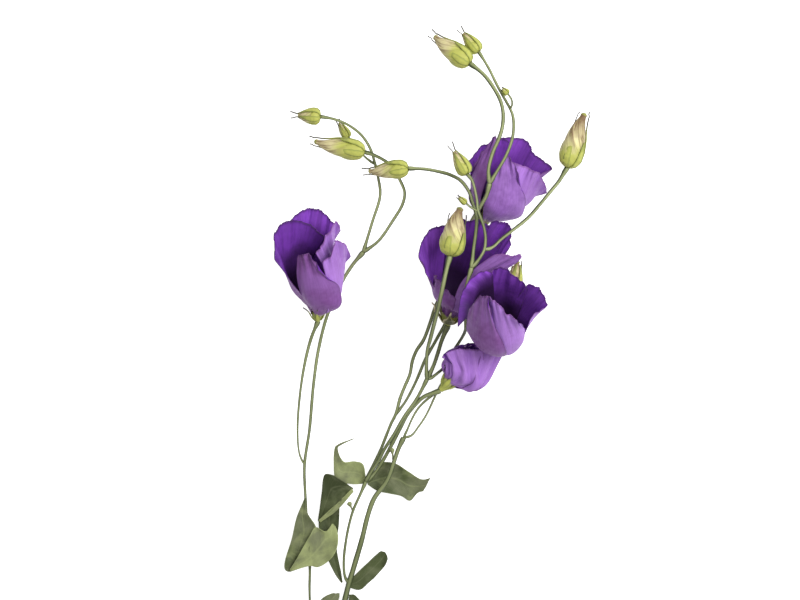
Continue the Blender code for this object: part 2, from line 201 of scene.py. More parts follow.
def frames(centres):
    """Two cross directions at each centre of a curve, carried along it without twist."""
    tangents = unit(np.gradient(centres, axis=0))
    side = np.cross(tangents[0], (0.0, 0.0, 1.0))
    if np.linalg.norm(side) < 0.1:
        side = np.cross(tangents[0], (0.0, 1.0, 0.0))
    sides = []
    for tangent in tangents:
        side = side - tangent * np.dot(side, tangent)
        side = side / np.linalg.norm(side)
        sides.append(side)
    sides = np.array(sides)
    return sides, np.cross(tangents, sides)


# ---------------------------------------------------------------- meshes

def only(obj):
    bpy.ops.object.select_all(action="DESELECT")
    obj.select_set(True)
    bpy.context.view_layer.objects.active = obj


def bent_grid(name, points):
    """A grid primitive whose vertices take their places from points[along][across], in mm."""
    along, across = points.shape[0] - 1, points.shape[1] - 1
    bpy.ops.object.select_all(action="DESELECT")
    bpy.ops.mesh.primitive_grid_add(x_subdivisions=across, y_subdivisions=along, size=2.0)
    obj = bpy.context.object
    obj.name = obj.data.name = name
    flat = np.empty(len(obj.data.vertices) * 3, np.float32)
    obj.data.vertices.foreach_get("co", flat)
    flat = flat.reshape(-1, 3)
    i = np.rint((flat[:, 0] + 1) / 2 * across).astype(int)
    j = np.rint((flat[:, 1] + 1) / 2 * along).astype(int)
    obj.data.vertices.foreach_set("co", (points[j, i] * MM).astype(np.float32).ravel())
    obj.data.update()
    bpy.ops.object.shade_smooth()
    return obj


def thicken(obj, thickness, inner_slot=0):
    """Gives a sheet its thickness; its inner side may have the next material."""
    only(obj)
    solid = obj.modifiers.new("Thickness", "SOLIDIFY")
    solid.thickness = thickness
    solid.offset = 0.0
    solid.material_offset = inner_slot
    bpy.ops.object.modifier_apply(modifier=solid.name)
    return obj


def rolled(name, points):
    """A grid primitive rolled into a closed tube: points[along][around], first and last columns alike."""
    obj = bent_grid(name, points)
    bpy.ops.object.mode_set(mode="EDIT")
    bpy.ops.mesh.select_all(action="SELECT")
    bpy.ops.mesh.remove_doubles(threshold=1e-7)
    bpy.ops.mesh.fill_holes(sides=0)
    bpy.ops.mesh.normals_make_consistent(inside=False)
    bpy.ops.object.mode_set(mode="OBJECT")
    return obj


def tube(name, rings, sides, ribs=0, rib_height=0.0):
    """A round tube along (x, y, z, radius) rings, with ribs along it if asked."""
    centres, radii = rings[:, :3], rings[:, 3]
    side, up = frames(centres)
    turn = np.linspace(0, 2 * math.pi, sides + 1)
    turn[-1] = 0.0
    swell = 1 + rib_height * np.cos(ribs * turn)
    reach = radii[:, None] * swell[None, :]
    return rolled(name, centres[:, None, :]
                  + side[:, None, :] * (np.cos(turn)[None, :] * reach)[..., None]
                  + up[:, None, :] * (np.sin(turn)[None, :] * reach)[..., None])


def joined(name, objects):
    """One piece from several meshes."""
    bpy.ops.object.select_all(action="DESELECT")
    for obj in objects:
        obj.select_set(True)
    bpy.context.view_layer.objects.active = objects[0]
    if len(objects) > 1:
        bpy.ops.object.join()
    objects[0].name = objects[0].data.name = name
    return objects[0]


def dressed(obj, *materials):
    for made in materials:
        obj.data.materials.append(made)
    return obj


def placed(obj, slot, *nodes):
    """Puts a finished piece on the spray's body and hides the CAD nodes it stands for; its slot is not
    used.
    """
    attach(obj, "root")
    if nodes:
        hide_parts(*nodes)


# ---------------------------------------------------------------- materials

class Pattern:
    """A procedural material under construction."""

    def __init__(self, name, roughness, specular=0.5):
        self.mat = bpy.data.materials.new(name)
        self.mat.use_nodes = True
        self.tree = self.mat.node_tree
        self.shader = self.tree.nodes["Principled BSDF"]
        self.shader.inputs["Roughness"].default_value = roughness
        self.shader.inputs["Specular IOR Level"].default_value = specular
        self.coords = self.tree.nodes.new("ShaderNodeTexCoord")

    def put(self, node, socket, value):
        target = node.inputs[socket]
        if isinstance(value, bpy.types.NodeSocket):
            self.tree.links.new(value, target)
        elif hasattr(value, "__len__") and len(value) == 3 and len(target.default_value) == 4:
            target.default_value = (*value, 1.0)
        else:
            target.default_value = value

    def node(self, kind, settings=(), **inputs):
        made = self.tree.nodes.new(kind)
        for key, value in dict(settings).items():
            setattr(made, key, value)
        for key, value in inputs.items():
            self.put(made, key.replace("_", " "), value)
        return made

    def space(self, kind, scale=(1, 1, 1), shift=(0, 0, 0)):
        """Coordinates of the piece: UV or Object, scaled."""
        made = self.node("ShaderNodeMapping", Scale=scale, Location=shift)
        self.tree.links.new(self.coords.outputs[kind], made.inputs["Vector"])
        return made.outputs["Vector"]

    def noise(self, where, scale, detail=3.0, distortion=0.0):
        return self.node("ShaderNodeTexNoise", Vector=where, Scale=scale, Detail=detail,
                         Distortion=distortion).outputs["Fac"]

    def ramp(self, value, *stops):
        made = self.node("ShaderNodeValToRGB", Fac=value)
        ramp = made.color_ramp
        while len(ramp.elements) < len(stops):
            ramp.elements.new(0.5)
        for element, (place, tone) in zip(ramp.elements, stops):
            element.position = place
            element.color = (tone, tone, tone, 1.0)
        return made.outputs["Color"]

    def mix(self, factor, a, b):
        made = self.tree.nodes.new("ShaderNodeMix")
        made.data_type = "RGBA"
        self.put(made, 0, factor)
        self.put(made, 6, a)
        self.put(made, 7, b)
        return made.outputs[2]

    def over(self, below, above, value, *stops):
        """The tone above, laid over the one below as far as a ramp of a value says."""
        return self.mix(self.ramp(value, *stops), below, above)

    def reckon(self, operation, a, b=0.0):
        made = self.node("ShaderNodeMath", {"operation": operation})
        self.put(made, 0, a)
        self.put(made, 1, b)
        return made.outputs[0]

    def times(self, a, b):
        return self.reckon("MULTIPLY", a, b)

    def plus(self, a, b):
        return self.reckon("ADD", a, b)

    def off_centre(self, value):
        """Distance of a value from a half."""
        return self.reckon("ABSOLUTE", self.reckon("SUBTRACT", value, 0.5))

    def stirred(self, value, noise, amount):
        """A value that a noise moves up and down."""
        return self.plus(value, self.times(self.reckon("SUBTRACT", noise, 0.5), amount))

    def part(self, where, axis):
        return self.node("ShaderNodeSeparateXYZ", Vector=where).outputs[axis]

    def finish(self, tone, height, strength, depth, rough=None):
        """Joins colour, bump (height, strength, depth in metres) and roughness to the shader."""
        self.put(self.shader, "Base Color", tone)
        bump = self.node("ShaderNodeBump", Height=height, Strength=strength, Distance=depth)
        self.tree.links.new(bump.outputs["Normal"], self.shader.inputs["Normal"])
        if rough is not None:
            self.put(self.shader, "Roughness", rough)
        return self.mat


def petal_material(name, main, deep, pale, claw, cup_shade_reach=None):
    """Petal skin: soft clouds, faint veins that fan out from the claw, and a thin darker lip.

    On the inner faces, painted shade lies deep in the cup and clears towards the lip.
    """
    made = Pattern(name, 0.55, specular=0.14)
    along = made.part(made.space("UV"), "Y")
    clouds = made.noise(made.space("Object"), 55.0, 3.0)
    mottle = made.noise(made.space("Object"), 420.0, 3.0)
    veins = made.noise(made.space("UV", (30, 2.2, 1)), 1.0, 4.0, 0.9)
    fibres = made.noise(made.space("UV", (150, 9, 1)), 1.0, 3.0, 0.3)
    tone = made.over(main, pale, clouds, (0.36, 0.0), (0.64, 0.8))
    tone = made.over(tone, deep, veins, (0.46, 0.0), (0.70, 0.24))
    tone = made.over(tone, pale, mottle, (0.42, 0.0), (0.66, 0.26))
    tone = made.over(tone, deep, fibres, (0.45, 0.0), (0.70, 0.16))
    # Painted shade of the cup: the face is dark low in the cup and clears towards the lip, around the given
    # reach along the petal.
    if cup_shade_reach:
        place = made.stirred(along, clouds, 0.35)
        tone = made.over(tone, deep, place, (cup_shade_reach - 0.18, 0.97), (cup_shade_reach, 0.62), (cup_shade_reach + 0.16, 0.0))
    tone = made.over(tone, claw, along, (0.01, 1.0), (0.07, 0.0))
    tone = made.over(tone, deep, along, (0.972, 0.0), (0.995, 0.75))
    rim = made.off_centre(made.part(made.space("UV"), "X"))
    tone = made.over(tone, deep, rim, (0.470, 0.0), (0.497, 0.5))
    fine, coarse = [made.ramp(lines, (0.3, 0.0), (0.7, 1.0)) for lines in (fibres, veins)]
    height = made.mix(0.3, made.mix(0.35, fine, coarse), mottle)
    return made.finish(tone, height, 0.35, 0.0002, made.ramp(mottle, (0.3, 0.56), (0.7, 0.42)))


def stem_material(settings):
    """Stem skin: a painted highlight along its top and underside and painted shade on its flanks, fine
    lines along it, cloudy patches and pores.
    """
    made = Pattern("stem_skin", 0.5, specular=0.3)
    # Painted highlight and shade: pale bands along the stem's top and underside, darker flanks at its
    # sides.
    turn = made.times(made.part(made.space("UV"), "X"), 2.0)
    shaded_flank = made.off_centre(made.reckon("FRACT", turn))
    lines = made.noise(made.space("UV", (14, 3, 1)), 1.0, 3.0, 0.3)
    shaded_flank = made.stirred(shaded_flank, lines, 0.35)
    patches = made.noise(made.space("Object"), 45.0, 3.0)
    pores = made.noise(made.space("Object"), 1500.0, 2.0)
    tone = made.over(settings.light, settings.dark, shaded_flank, (0.10, 0.0), (0.22, 0.55), (0.36, 1.0))
    tone = made.over(tone, settings.dark, patches, (0.42, 0.0), (0.70, 0.5))
    tone = made.over(tone, settings.dark, pores, (0.55, 0.0), (0.75, 0.2))
    reach = made.plus(made.part(made.space("Object"), "Y"), 0.25)
    tone = made.over(tone, settings.dark, reach, (0.16, 0.5), (0.34, 0.0))
    height = made.mix(0.3, lines, pores)
    return made.finish(tone, height, 0.4, 0.00012, made.ramp(patches, (0.3, 0.42), (0.7, 0.6)))


def bud_material(name, settings, ripeness):
    """Bud skin: a lime foot, a cream body, and tan streaks that wind up to a green tip."""
    made = Pattern(name, 0.5, specular=0.25)
    uv = made.space("UV")
    across, along = made.part(uv, "X"), made.part(uv, "Y")
    wound = made.plus(made.times(across, FURLS), made.times(along, FURLS * WIND))
    slant = made.node("ShaderNodeCombineXYZ", X=made.times(wound, 7.0), Y=made.times(along, 3.0)).outputs[0]
    veins = made.noise(slant, 1.0, 4.0, 0.5)
    blotch = made.noise(made.space("Object"), 160.0, 3.0)
    specks = made.noise(made.space("Object"), 800.0, 3.0)
    place = made.stirred(along, blotch, 0.6)
    tone = made.over(settings.lime, settings.cream,
                     place, (0.34 - 0.16 * ripeness, 0.0), (0.66 - 0.14 * ripeness, 1.0))
    reach = made.ramp(place, (0.30 - 0.1 * ripeness, 0.12), (0.56, 0.5 + 0.3 * ripeness), (0.95, 1.0))
    tone = made.over(tone, settings.tan, place, (0.48, 0.0), (0.90, 0.25 + 0.65 * ripeness))
    streak = made.times(made.ramp(veins, (0.46, 0.0), (0.60, 1.0)), reach)
    tone = made.mix(streak, tone, settings.tan)
    lap = made.ramp(made.reckon("FRACT", wound), (0.60, 0.0), (0.84, 1.0), (0.90, 0.0))
    tone = made.mix(made.times(made.times(lap, reach), 0.8), tone, [c * 0.7 for c in settings.tan])
    tone = made.over(tone, [c * 0.6 for c in settings.lime], along, (0.945, 0.0), (0.965, 1.0))
    tone = made.over(tone, settings.lime, specks, (0.5, 0.0), (0.75, 0.25))
    return made.finish(tone, made.mix(0.4, veins, specks), 0.5, 0.0002,
                       made.ramp(veins, (0.3, 0.42), (0.7, 0.6)))


def sepal_material(name, body, edge, thread):
    """Sepal skin: lime and keeled, olive at its edges, drying to a dark thread at the tip."""
    made = Pattern(name, 0.55, specular=0.25)
    uv = made.space("UV")
    off = made.off_centre(made.part(uv, "X"))
    fine = made.noise(made.space("Object"), 900.0, 3.0)
    tone = made.over(body, edge, off, (0.22, 0.0), (0.46, 0.9))
    tone = made.over(tone, edge, fine, (0.45, 0.0), (0.7, 0.3))
    tone = made.over(tone, thread, made.part(uv, "Y"), (0.62, 0.0), (0.78, 0.9))
    return made.finish(tone, fine, 0.3, 0.0001)


def leaf_material(name, main, deep, pale):
    """Leaf skin: a pale midrib, side veins that slant towards the tip, cloudy bloom and a pale margin."""
    made = Pattern(name, 0.55, specular=0.2)
    uv = made.space("UV")
    across = made.part(uv, "X")
    along = made.part(uv, "Y")
    off = made.off_centre(across)
    clouds = made.noise(made.space("Object"), 60.0, 4.0, 0.4)
    bloom = made.noise(made.space("Object", shift=(3, 1, 2)), 95.0, 3.0, 0.6)
    fine = made.noise(made.space("Object"), 1100.0, 3.0)
    slant = made.reckon("SUBTRACT", made.times(along, 9.0), made.times(off, 6.0))
    slant = made.plus(slant, made.times(clouds, 0.8))
    near = made.off_centre(made.reckon("FRACT", slant))
    veins = made.ramp(near, (0.0, 1.0), (0.09, 0.0))
    rib = made.ramp(off, (0.012, 1.0), (0.045, 0.0))
    tone = made.over(deep, main, clouds, (0.40, 0.0), (0.58, 1.0))
    tone = made.over(tone, pale, bloom, (0.50, 0.0), (0.68, 0.42))
    tone = made.mix(made.times(veins, 0.12), tone, pale)
    tone = made.mix(made.times(rib, 0.28), tone, pale)
    tone = made.over(tone, pale, off, (0.475, 0.0), (0.497, 0.5))
    tone = made.over(tone, deep, fine, (0.5, 0.0), (0.75, 0.25))
    height = made.mix(0.5, made.mix(0.5, veins, rib), fine)
    return made.finish(tone, height, 0.5, 0.00025, made.ramp(clouds, (0.3, 0.48), (0.7, 0.66)))


def materials():
    """The spray's materials, made once and kept by name."""
    if "stem_skin" in bpy.data.materials:
        return bpy.data.materials
    petal = bpy.context.scene.spray_petals
    buds = bpy.context.scene.spray_buds
    leaf = bpy.context.scene.spray_leaves
    half = [(a + b) / 2 for a, b in zip(petal.mauve, petal.lilac)]
    soft = [min(1.0, c * 1.25) for c in petal.lilac]
    # Painted shade: a darker copy of the violet, for the inner finish petal_plum.
    shaded_violet = [c * 0.62 for c in petal.violet]
    dusky = [c * 0.5 for c in petal.mauve]
    petal_material("petal_mauve", petal.mauve, dusky, half, petal.claw)
    petal_material("petal_half", half, petal.mauve, petal.lilac, petal.claw)
    petal_material("petal_lilac", petal.lilac, petal.mauve, soft, petal.claw)
    shade = [a * b for a, b in zip(petal.mauve, (0.95, 1.1, 1.2))]
    petal_material("petal_dusk", shade, dusky, petal.lilac, petal.claw)
    # The last number of each inner finish is how far up the petal the painted shade of its cup reaches.
    petal_material("petal_bright", petal.bright, petal.plum, petal.violet, petal.claw, 0.42)
    # Painted shade of the cup covers most of this inner face; only the band at the lip stays bright.
    petal_material("petal_rim", petal.bright, petal.plum, petal.violet, petal.claw, 0.80)
    petal_material("petal_violet", petal.violet, petal.plum, petal.bright, petal.claw, 0.58)
    # petal_plum: the shaded copy of violet, with painted cup shade reaching further up the petal.
    petal_material("petal_plum", shaded_violet, petal.plum, petal.violet, petal.claw, 0.66)
    stem_material(bpy.context.scene.spray_stems)
    bud_material("bud_green", buds, 0.0)
    bud_material("bud_ripe", buds, 0.9)
    bud_material("bud_brown", buds, 1.15)
    sepal_material("sepal_skin", buds.lime, buds.sepal, buds.thread)
    sepal_material("sepal_plain", buds.lime, buds.sepal, buds.sepal)
    sepal_material("sepal_dark", [c * 0.22 for c in buds.sepal], [c * 0.7 for c in buds.cream], buds.cream)
    leaf_material("calyx_skin", buds.lime, buds.sepal, buds.cream)
    leaf_material("leaf_grey", leaf.grey, leaf.dark, leaf.light)
    leaf_material("leaf_light", leaf.light, leaf.grey, [min(1, c * 1.3) for c in leaf.light])
    leaf_material("leaf_dark", leaf.dark, [c * 0.6 for c in leaf.dark], leaf.grey)
    anther = Pattern("pollen", 0.8)
    grain = anther.noise(anther.space("Object"), 2500.0, 2.0)
    anther.finish(anther.mix(grain, (0.75, 0.55, 0.12), (0.9, 0.8, 0.35)), grain, 0.8, 0.0002)
    return bpy.data.materials


# ---------------------------------------------------------------- flowers

class Flower:
    """Where one open flower's cup stands, and the frame that its petals are given in."""

    def __init__(self, name, base, heading, rise, swirl, folds, petals):
        self.name = name
        self.swirl = swirl
        self.folds = folds
        self.base = spot(base)
        self.rise = math.radians(rise)
        flat = unit(np.array((*heading, 0.0)))
        self.axis = flat * math.cos(self.rise) + np.array((0, 0, math.sin(self.rise)))
        self.right = np.array((flat[1], -flat[0], 0.0))
        self.back = np.cross(self.axis, self.right)
        self.petals = petals

    def ring(self, azimuth, radius, height):
        turn = math.radians(azimuth)
        return (self.base + self.axis * height
                + (self.right * math.cos(turn) + self.back * math.sin(turn)) * radius)

    def lip(self, side, along, front):
        """A lip point: to the right, along the heading as seen from above, and out to the front."""
        height = (along + front * math.sin(self.rise)) / math.cos(self.rise)
        return self.base + self.axis * height + self.right * side - self.back * front


# Each flower: base, heading, rise in degrees, swirl in degrees and depth of its folds in mm.
# Each petal: middle azimuth and half span; low ring and belly ring (left radius, right radius, height);
# shoulder and lip points from left to right; curl of the lip; outer and inner finish.
FLOWERS = (
    Flower("left_flower", (-49.8, 172.5, 12.62), (-0.07, 1.0), 28.0, 0.0, 0.0, (
        (-82, 53, (5.5, 14, 6), (13, 17, 18), None,
         ((-9.6, 34.4, 12), (-6, 35, 15), (-2.3, 35.3, 17), (-0.2, 31.9, 18), (5.5, 23, 18)),
         0.0, "petal_mauve", "petal_plum"),
        (-12, 50, (11, 12.5, 5), (15, 18.5, 20), None,
         ((5.4, 31, 13), (11, 33.6, 13.5), (14.6, 42.4, 11), (20.2, 39.4, 5), (22.6, 33, -3)),
         0.4, "petal_lilac", "petal_plum"),
        (20, 50, (9.5, 10.5, 5), (13.5, 15, 20), None,
         ((1.5, 36, 10), (6.2, 41, 8), (10.6, 48.2, 5), (15.6, 53.6, -1), (18.2, 48.5, -6)),
         0.3, "petal_lilac", "petal_violet"),
        (100, 50, (9, 10, 5), (14.5, 15.5, 20), None,
         ((13, 49, -11), (11, 55.5, -14), (5.5, 61, -15), (-2, 62.4, -16), (-12.5, 57, -15)),
         1.0, "petal_mauve", "petal_bright"),
        (165, 62, (8, 4.5, 5), (14.5, 15, 20), None,
         ((8, 44.5, -7), (-1, 52.5, -11), (-12, 55.5, -9), (-20.5, 49.5, 1), (-22.6, 34, 9)),
         1.0, "petal_mauve", "petal_plum"),
    )),
    Flower("middle_flower", (30.0, 171.0, 15.5), (0.17, 0.98), 38.0, 0.0, 0.0, (
        (-128, 44, (5, 6, 7), (11.5, 12.5, 15), None,
         ((-13.6, 22.6, 7), (-10.8, 20.4, 10), (-7.4, 17.4, 12), (-3, 13.8, 13), (1.8, 10.4, 13)),
         0.3, "petal_mauve", "petal_plum"),
        (-45, 44, (6, 8, 7), (12.5, 15, 15),
         ((5, 24, 12), (13, 27, 14), (19, 27.5, 13), (20, 24.5, 11), (16, 18.5, 8)),
         ((19, 40.2, 12), (28, 41.6, 13), (35.5, 42, 13), (33, 38.5, 12), (22.8, 30, 10)),
         0.3, "petal_half", "petal_violet"),
        (30, 46, (7, 8, 6), (14.5, 15.5, 20), None,
         ((25.7, 41.6, -2), (27.2, 50.4, -6), (26.5, 55.9, -9), (22.5, 59.3, -12), (15.1, 60.5, -14)),
         1.0, "petal_half", "petal_violet"),
        (104, 46, (7, 7, 6), (14.5, 15.5, 20), None,
         ((14.4, 57.3, -13), (7, 57.9, -15), (1, 57.4, -16), (-5, 57, -16), (-11.1, 53.5, -14)),
         1.0, "petal_mauve", "petal_plum"),
        (180, 52, (6.5, 5, 6), (14, 12, 18), None,
         ((-8.4, 55.2, -14), (-14.4, 51.7, -13), (-22.2, 45.4, -9), (-24.4, 32.6, -4), (-17.6, 23.4, 4)),
         1.0, "petal_mauve", "petal_bright"),
    )),
    Flower("upper_flower", (49.8, 229.0, 14.62), (0.40, 0.92), 12.0, 0.0, 0.0, (
        (-54, 47, (12, 15.5, 6), (17.5, 20.5, 16), None,
         ((-3.8, 30, 15), (-2.7, 35.7, 15), (-0.9, 39.8, 14), (4.6, 36.7, 15), (9.5, 30.4, 16)),
         0.0, "petal_dusk", "petal_plum"),
        (-8, 44, (8, 14.5, 6), (11.5, 23, 15), None,
         ((3.7, 39.2, 9), (13.4, 38.4, 8), (18.5, 38.3, 9), (24.5, 35.2, 4), (29.3, 30.8, -2)),
         0.3, "petal_lilac", "petal_violet"),
        (48, 58, (9.5, 10, 5), (14.5, 15, 17), None,
         ((19.6, 37.9, 3), (25, 44.6, 0), (11.6, 48.4, -5), (5, 53.6, -9), (-11, 48.6, -12)),
         0.4, "petal_half", "petal_bright"),
        (135, 46, (10, 10, 5), (13.5, 14.5, 16), None,
         ((-4.4, 50, -8), (-12, 46, -8), (-17.6, 39.5, -7), (-20.6, 31.5, -3), (-19, 24.5, 2)),
         0.4, "petal_mauve", "petal_violet"),
        (200, 42, (9, 7, 5), (15, 13.5, 16), None,
         ((-18.2, 25.8, 3), (-16.6, 35, 6), (-15.0, 43, 5), (-12.6, 48.2, 3), (-8.8, 41.5, 7)),
         0.3, "petal_mauve", "petal_plum"),
    )),
    Flower("front_flower", (58.5, 151.0, 34.0), (0.12, 0.99), 50.0, 0.0, 0.0, (
        (-120, 49, (9.5, 10, 5), (18.5, 16, 15), None,
         ((-20.2, 21.7, 8), (-16.6, 27.6, 11), (-12.1, 30.3, 11.5), (-9.8, 28, 13), (-6.5, 17, 15)),
         0.0, "petal_mauve", "petal_plum"),
        (-45, 50, (9.5, 10.5, 5), (14.5, 15, 15), None,
         ((-10.3, 30.2, 10), (-4.6, 27.9, 12), (2.2, 21.4, 13.5), (8, 19.1, 13), (12, 15.5, 10)),
         0.3, "petal_lilac", "petal_plum"),
        (30, 46, (10, 11, 5), (14, 15.5, 17), None,
         ((17.4, 22.4, 4), (22.8, 26.4, -1), (24.2, 32.8, -5), (19.4, 38.8, -7), (12.4, 39.8, -8)),
         0.3, "petal_lilac", "petal_bright"),
        (95, 46, (10, 11, 5), (14.5, 15.5, 20), None,
         ((12.9, 37.8, -9), (6.9, 42.5, -12), (-0.2, 46.5, -14), (-5.7, 47.4, -15), (-10.3, 45.3, -14)),
         0.5, "petal_mauve", "petal_violet"),
        (156, 45, (10, 10, 5), (14, 18.5, 21),
         ((-8.4, 42, -12), (-11.6, 40, -9), (-16.6, 34, -4), (-20.4, 26, 0), (-21.6, 15, 0)),
         ((-10.3, 45, -12), (-15.4, 44.3, -9), (-22.5, 37.2, -4), (-26.4, 27, 0), (-25.6, 8.4, 1)),
         0.1, "petal_mauve", "petal_rim"),
    )),
    Flower("low_flower", (29.6, 131.4, 20.6), (0.68, 0.73), 4.0, 38.0, 1.3, (
        (-88, 62, (6, 10, 2.5), (10, 17, 8.5), None,
         ((-13.2, 7.4, 9), (-12.6, 12.5, 12), (-9, 18.5, 13.5), (-3.8, 22.3, 13), (2.1, 28.2, 11)),
         0.0, "petal_lilac", "petal_plum"),
        (-18, 50, (9, 10, 2), (15.5, 16, 9.5), None,
         ((1, 28, 10), (7, 32, 9), (11.5, 33.5, 5), (12.5, 32, 0), (12, 29, -5)),
         0.0, "petal_lilac", "petal_plum"),
        (54, 48, (9, 9, 2.5), (14, 13, 10), None,
         ((12, 30, -3), (10, 31, -7), (6, 30, -9), (2, 28, -10), (-3, 26, -9)),
         0.3, "petal_half", "petal_plum"),
        (126, 48, (8, 7, 2.5), (12, 10, 9), None,
         ((2, 27, -10), (-3, 27, -9), (-6, 25, -7), (-9, 21, -5), (-11, 15, -2)),
         0.3, "petal_half", "petal_plum"),
        (192, 48, (6, 6, 2.5), (9.5, 10, 8), None,
         ((-4, 25.5, -4), (-7, 22, -1), (-9.5, 18.5, 3), (-13, 13.4, 8), (-13.6, 8.2, 9)),
         0.3, "petal_lilac", "petal_plum"),
    )),
)

# A petal's foot on the receptacle: half span in degrees, radius, flare of its sides and depth.
CLAW_SPAN = 15.0
CLAW_RADIUS = 3.4
CLAW_FLARE = 0.3
CLAW_DEPTH = 1.0
# Share of the span and of the swirl that the rings above the foot take.
LOW_RING = (0.92, 1.0)
BELLY_RING = (1.0, 0.6)
# Where the rows and columns of a petal's points lie on it.
ROW_KNOTS = (0.0, 0.16, 0.46, 1.0)
SHOULDER_KNOTS = (0.0, 0.16, 0.42, 0.76, 1.0)
COLUMNS = (-1.0, -0.5, 0.0, 0.5, 1.0)
# Teeth of the lip and the drop at its corners, as shares of the petal's length.
TOOTH = 0.008
FINE_TOOTH = 0.0045
CORNER_DROP = 0.02
# Flutter of the lip and dimples of the skin in mm, ruffle of the sides as a share of the lip's, and
# number of half folds from the middle to a side.
FLUTTER = 0.16
DIMPLE = 0.40
SIDE_RUFFLE = 0.35
FOLDS_ACROSS = 3.4


def petal_points(flower, i, settings):
    """Points of a petal: a smooth sheet through its rings and its lip, then folds, ruffles and teeth."""
    middle, span, low, belly, shoulder, lip, curl = flower.petals[i][:7]
    rows = [[flower.ring(middle + CLAW_SPAN * u, CLAW_RADIUS + CLAW_FLARE * u, -CLAW_DEPTH)
             for u in COLUMNS]]
    for (reach, twist), (left, right, height) in ((LOW_RING, low), (BELLY_RING, belly)):
        rows.append([flower.ring(middle + flower.swirl * twist + span * reach * u,
                                 (left + right + (right - left) * u) / 2, height) for u in COLUMNS])
    rows += [[flower.lip(*p) for p in row] for row in (shoulder, lip) if row]
    knots = SHOULDER_KNOTS if shoulder else ROW_KNOTS
    seed = sum(map(ord, flower.name)) * 7 + i
    u = np.linspace(-1, 1, settings.across + 1)
    v = np.linspace(0, 1, settings.along + 1)
    teeth = 1 + TOOTH * waves(u, (4.1, 9.3), seed) + FINE_TOOTH * waves(u, (31, 53, 79), seed + 5)
    teeth -= CORNER_DROP * np.abs(u) ** 10
    points = np.empty((len(v), len(u), 3))
    for k, across in enumerate(u):
        column = through(np.array(rows), knots, v * teeth[k])
        points[:, k] = [through(row, COLUMNS, across)[0] for row in column]
    out = unit(np.cross(np.gradient(points, axis=1), np.gradient(points, axis=0)))
    wide, tall = np.meshgrid(u, v)
    edge = ease(0.62, 1.0, tall)
    ruffle, pleat = settings.ruffle / MM, settings.pleat / MM
    lift = ruffle * edge * waves(wide * (1 + 0.2 * tall), (4.9, 8.3, 13.7), seed + 50)
    lift += FLUTTER * ease(0.86, 1.0, tall) * waves(wide, (27, 43), seed + 55)
    lift += SIDE_RUFFLE * ruffle * np.abs(wide) ** 4 * waves(tall, (7.0, 13.0), seed + 60)
    folds = ease(0.05, 0.3, tall) * (1 - 0.4 * edge) * np.sin(math.pi * (FOLDS_ACROSS * wide + 0.5))
    lift += flower.folds * folds
    lift += pleat * ease(0.05, 0.4, tall) * (1 - 0.6 * edge) * waves(wide, (4.2, 7.9), seed + 70)
    dimples = waves(wide * 2.4 + tall * 4, (1.0, 2.1), seed + 80)
    lift += DIMPLE * dimples * waves(tall * 6 - wide, (1.0, 1.9), seed + 90)
    lift += curl * ease(0.80, 1.0, tall) ** 1.5
    points = points + out * lift[..., None]
    points[..., 2] = np.maximum(points[..., 2], LOWEST)
    return points


def make_petals(flower, settings, finish):
    for i, petal in enumerate(flower.petals):
        sheet = bent_grid(f"{flower.name}_blade_{i + 1}", petal_points(flower, i, settings))
        dressed(sheet, finish[petal[7]], finish[petal[8]])
        placed(thicken(sheet, settings.thickness, 1), "petal", f"{flower.name}_petal_{i + 1}")


# ---------------------------------------------------------------- stems

def spread(first, last, points):
    return np.linspace(first, last, len(points))


LEFT_JOIN = (-44.4, -48.0, 2.4)
FORK = (-20.7, 70.8, 11)
UPPER_FORK = (16.2, 132.6, 21)
BUD_JOINT = (42.6, 199.2, 55)
TOP_JOINT = (53.6, 249.7, 41.5)
LOW_JOINT = (2.1, 97.2, 13)

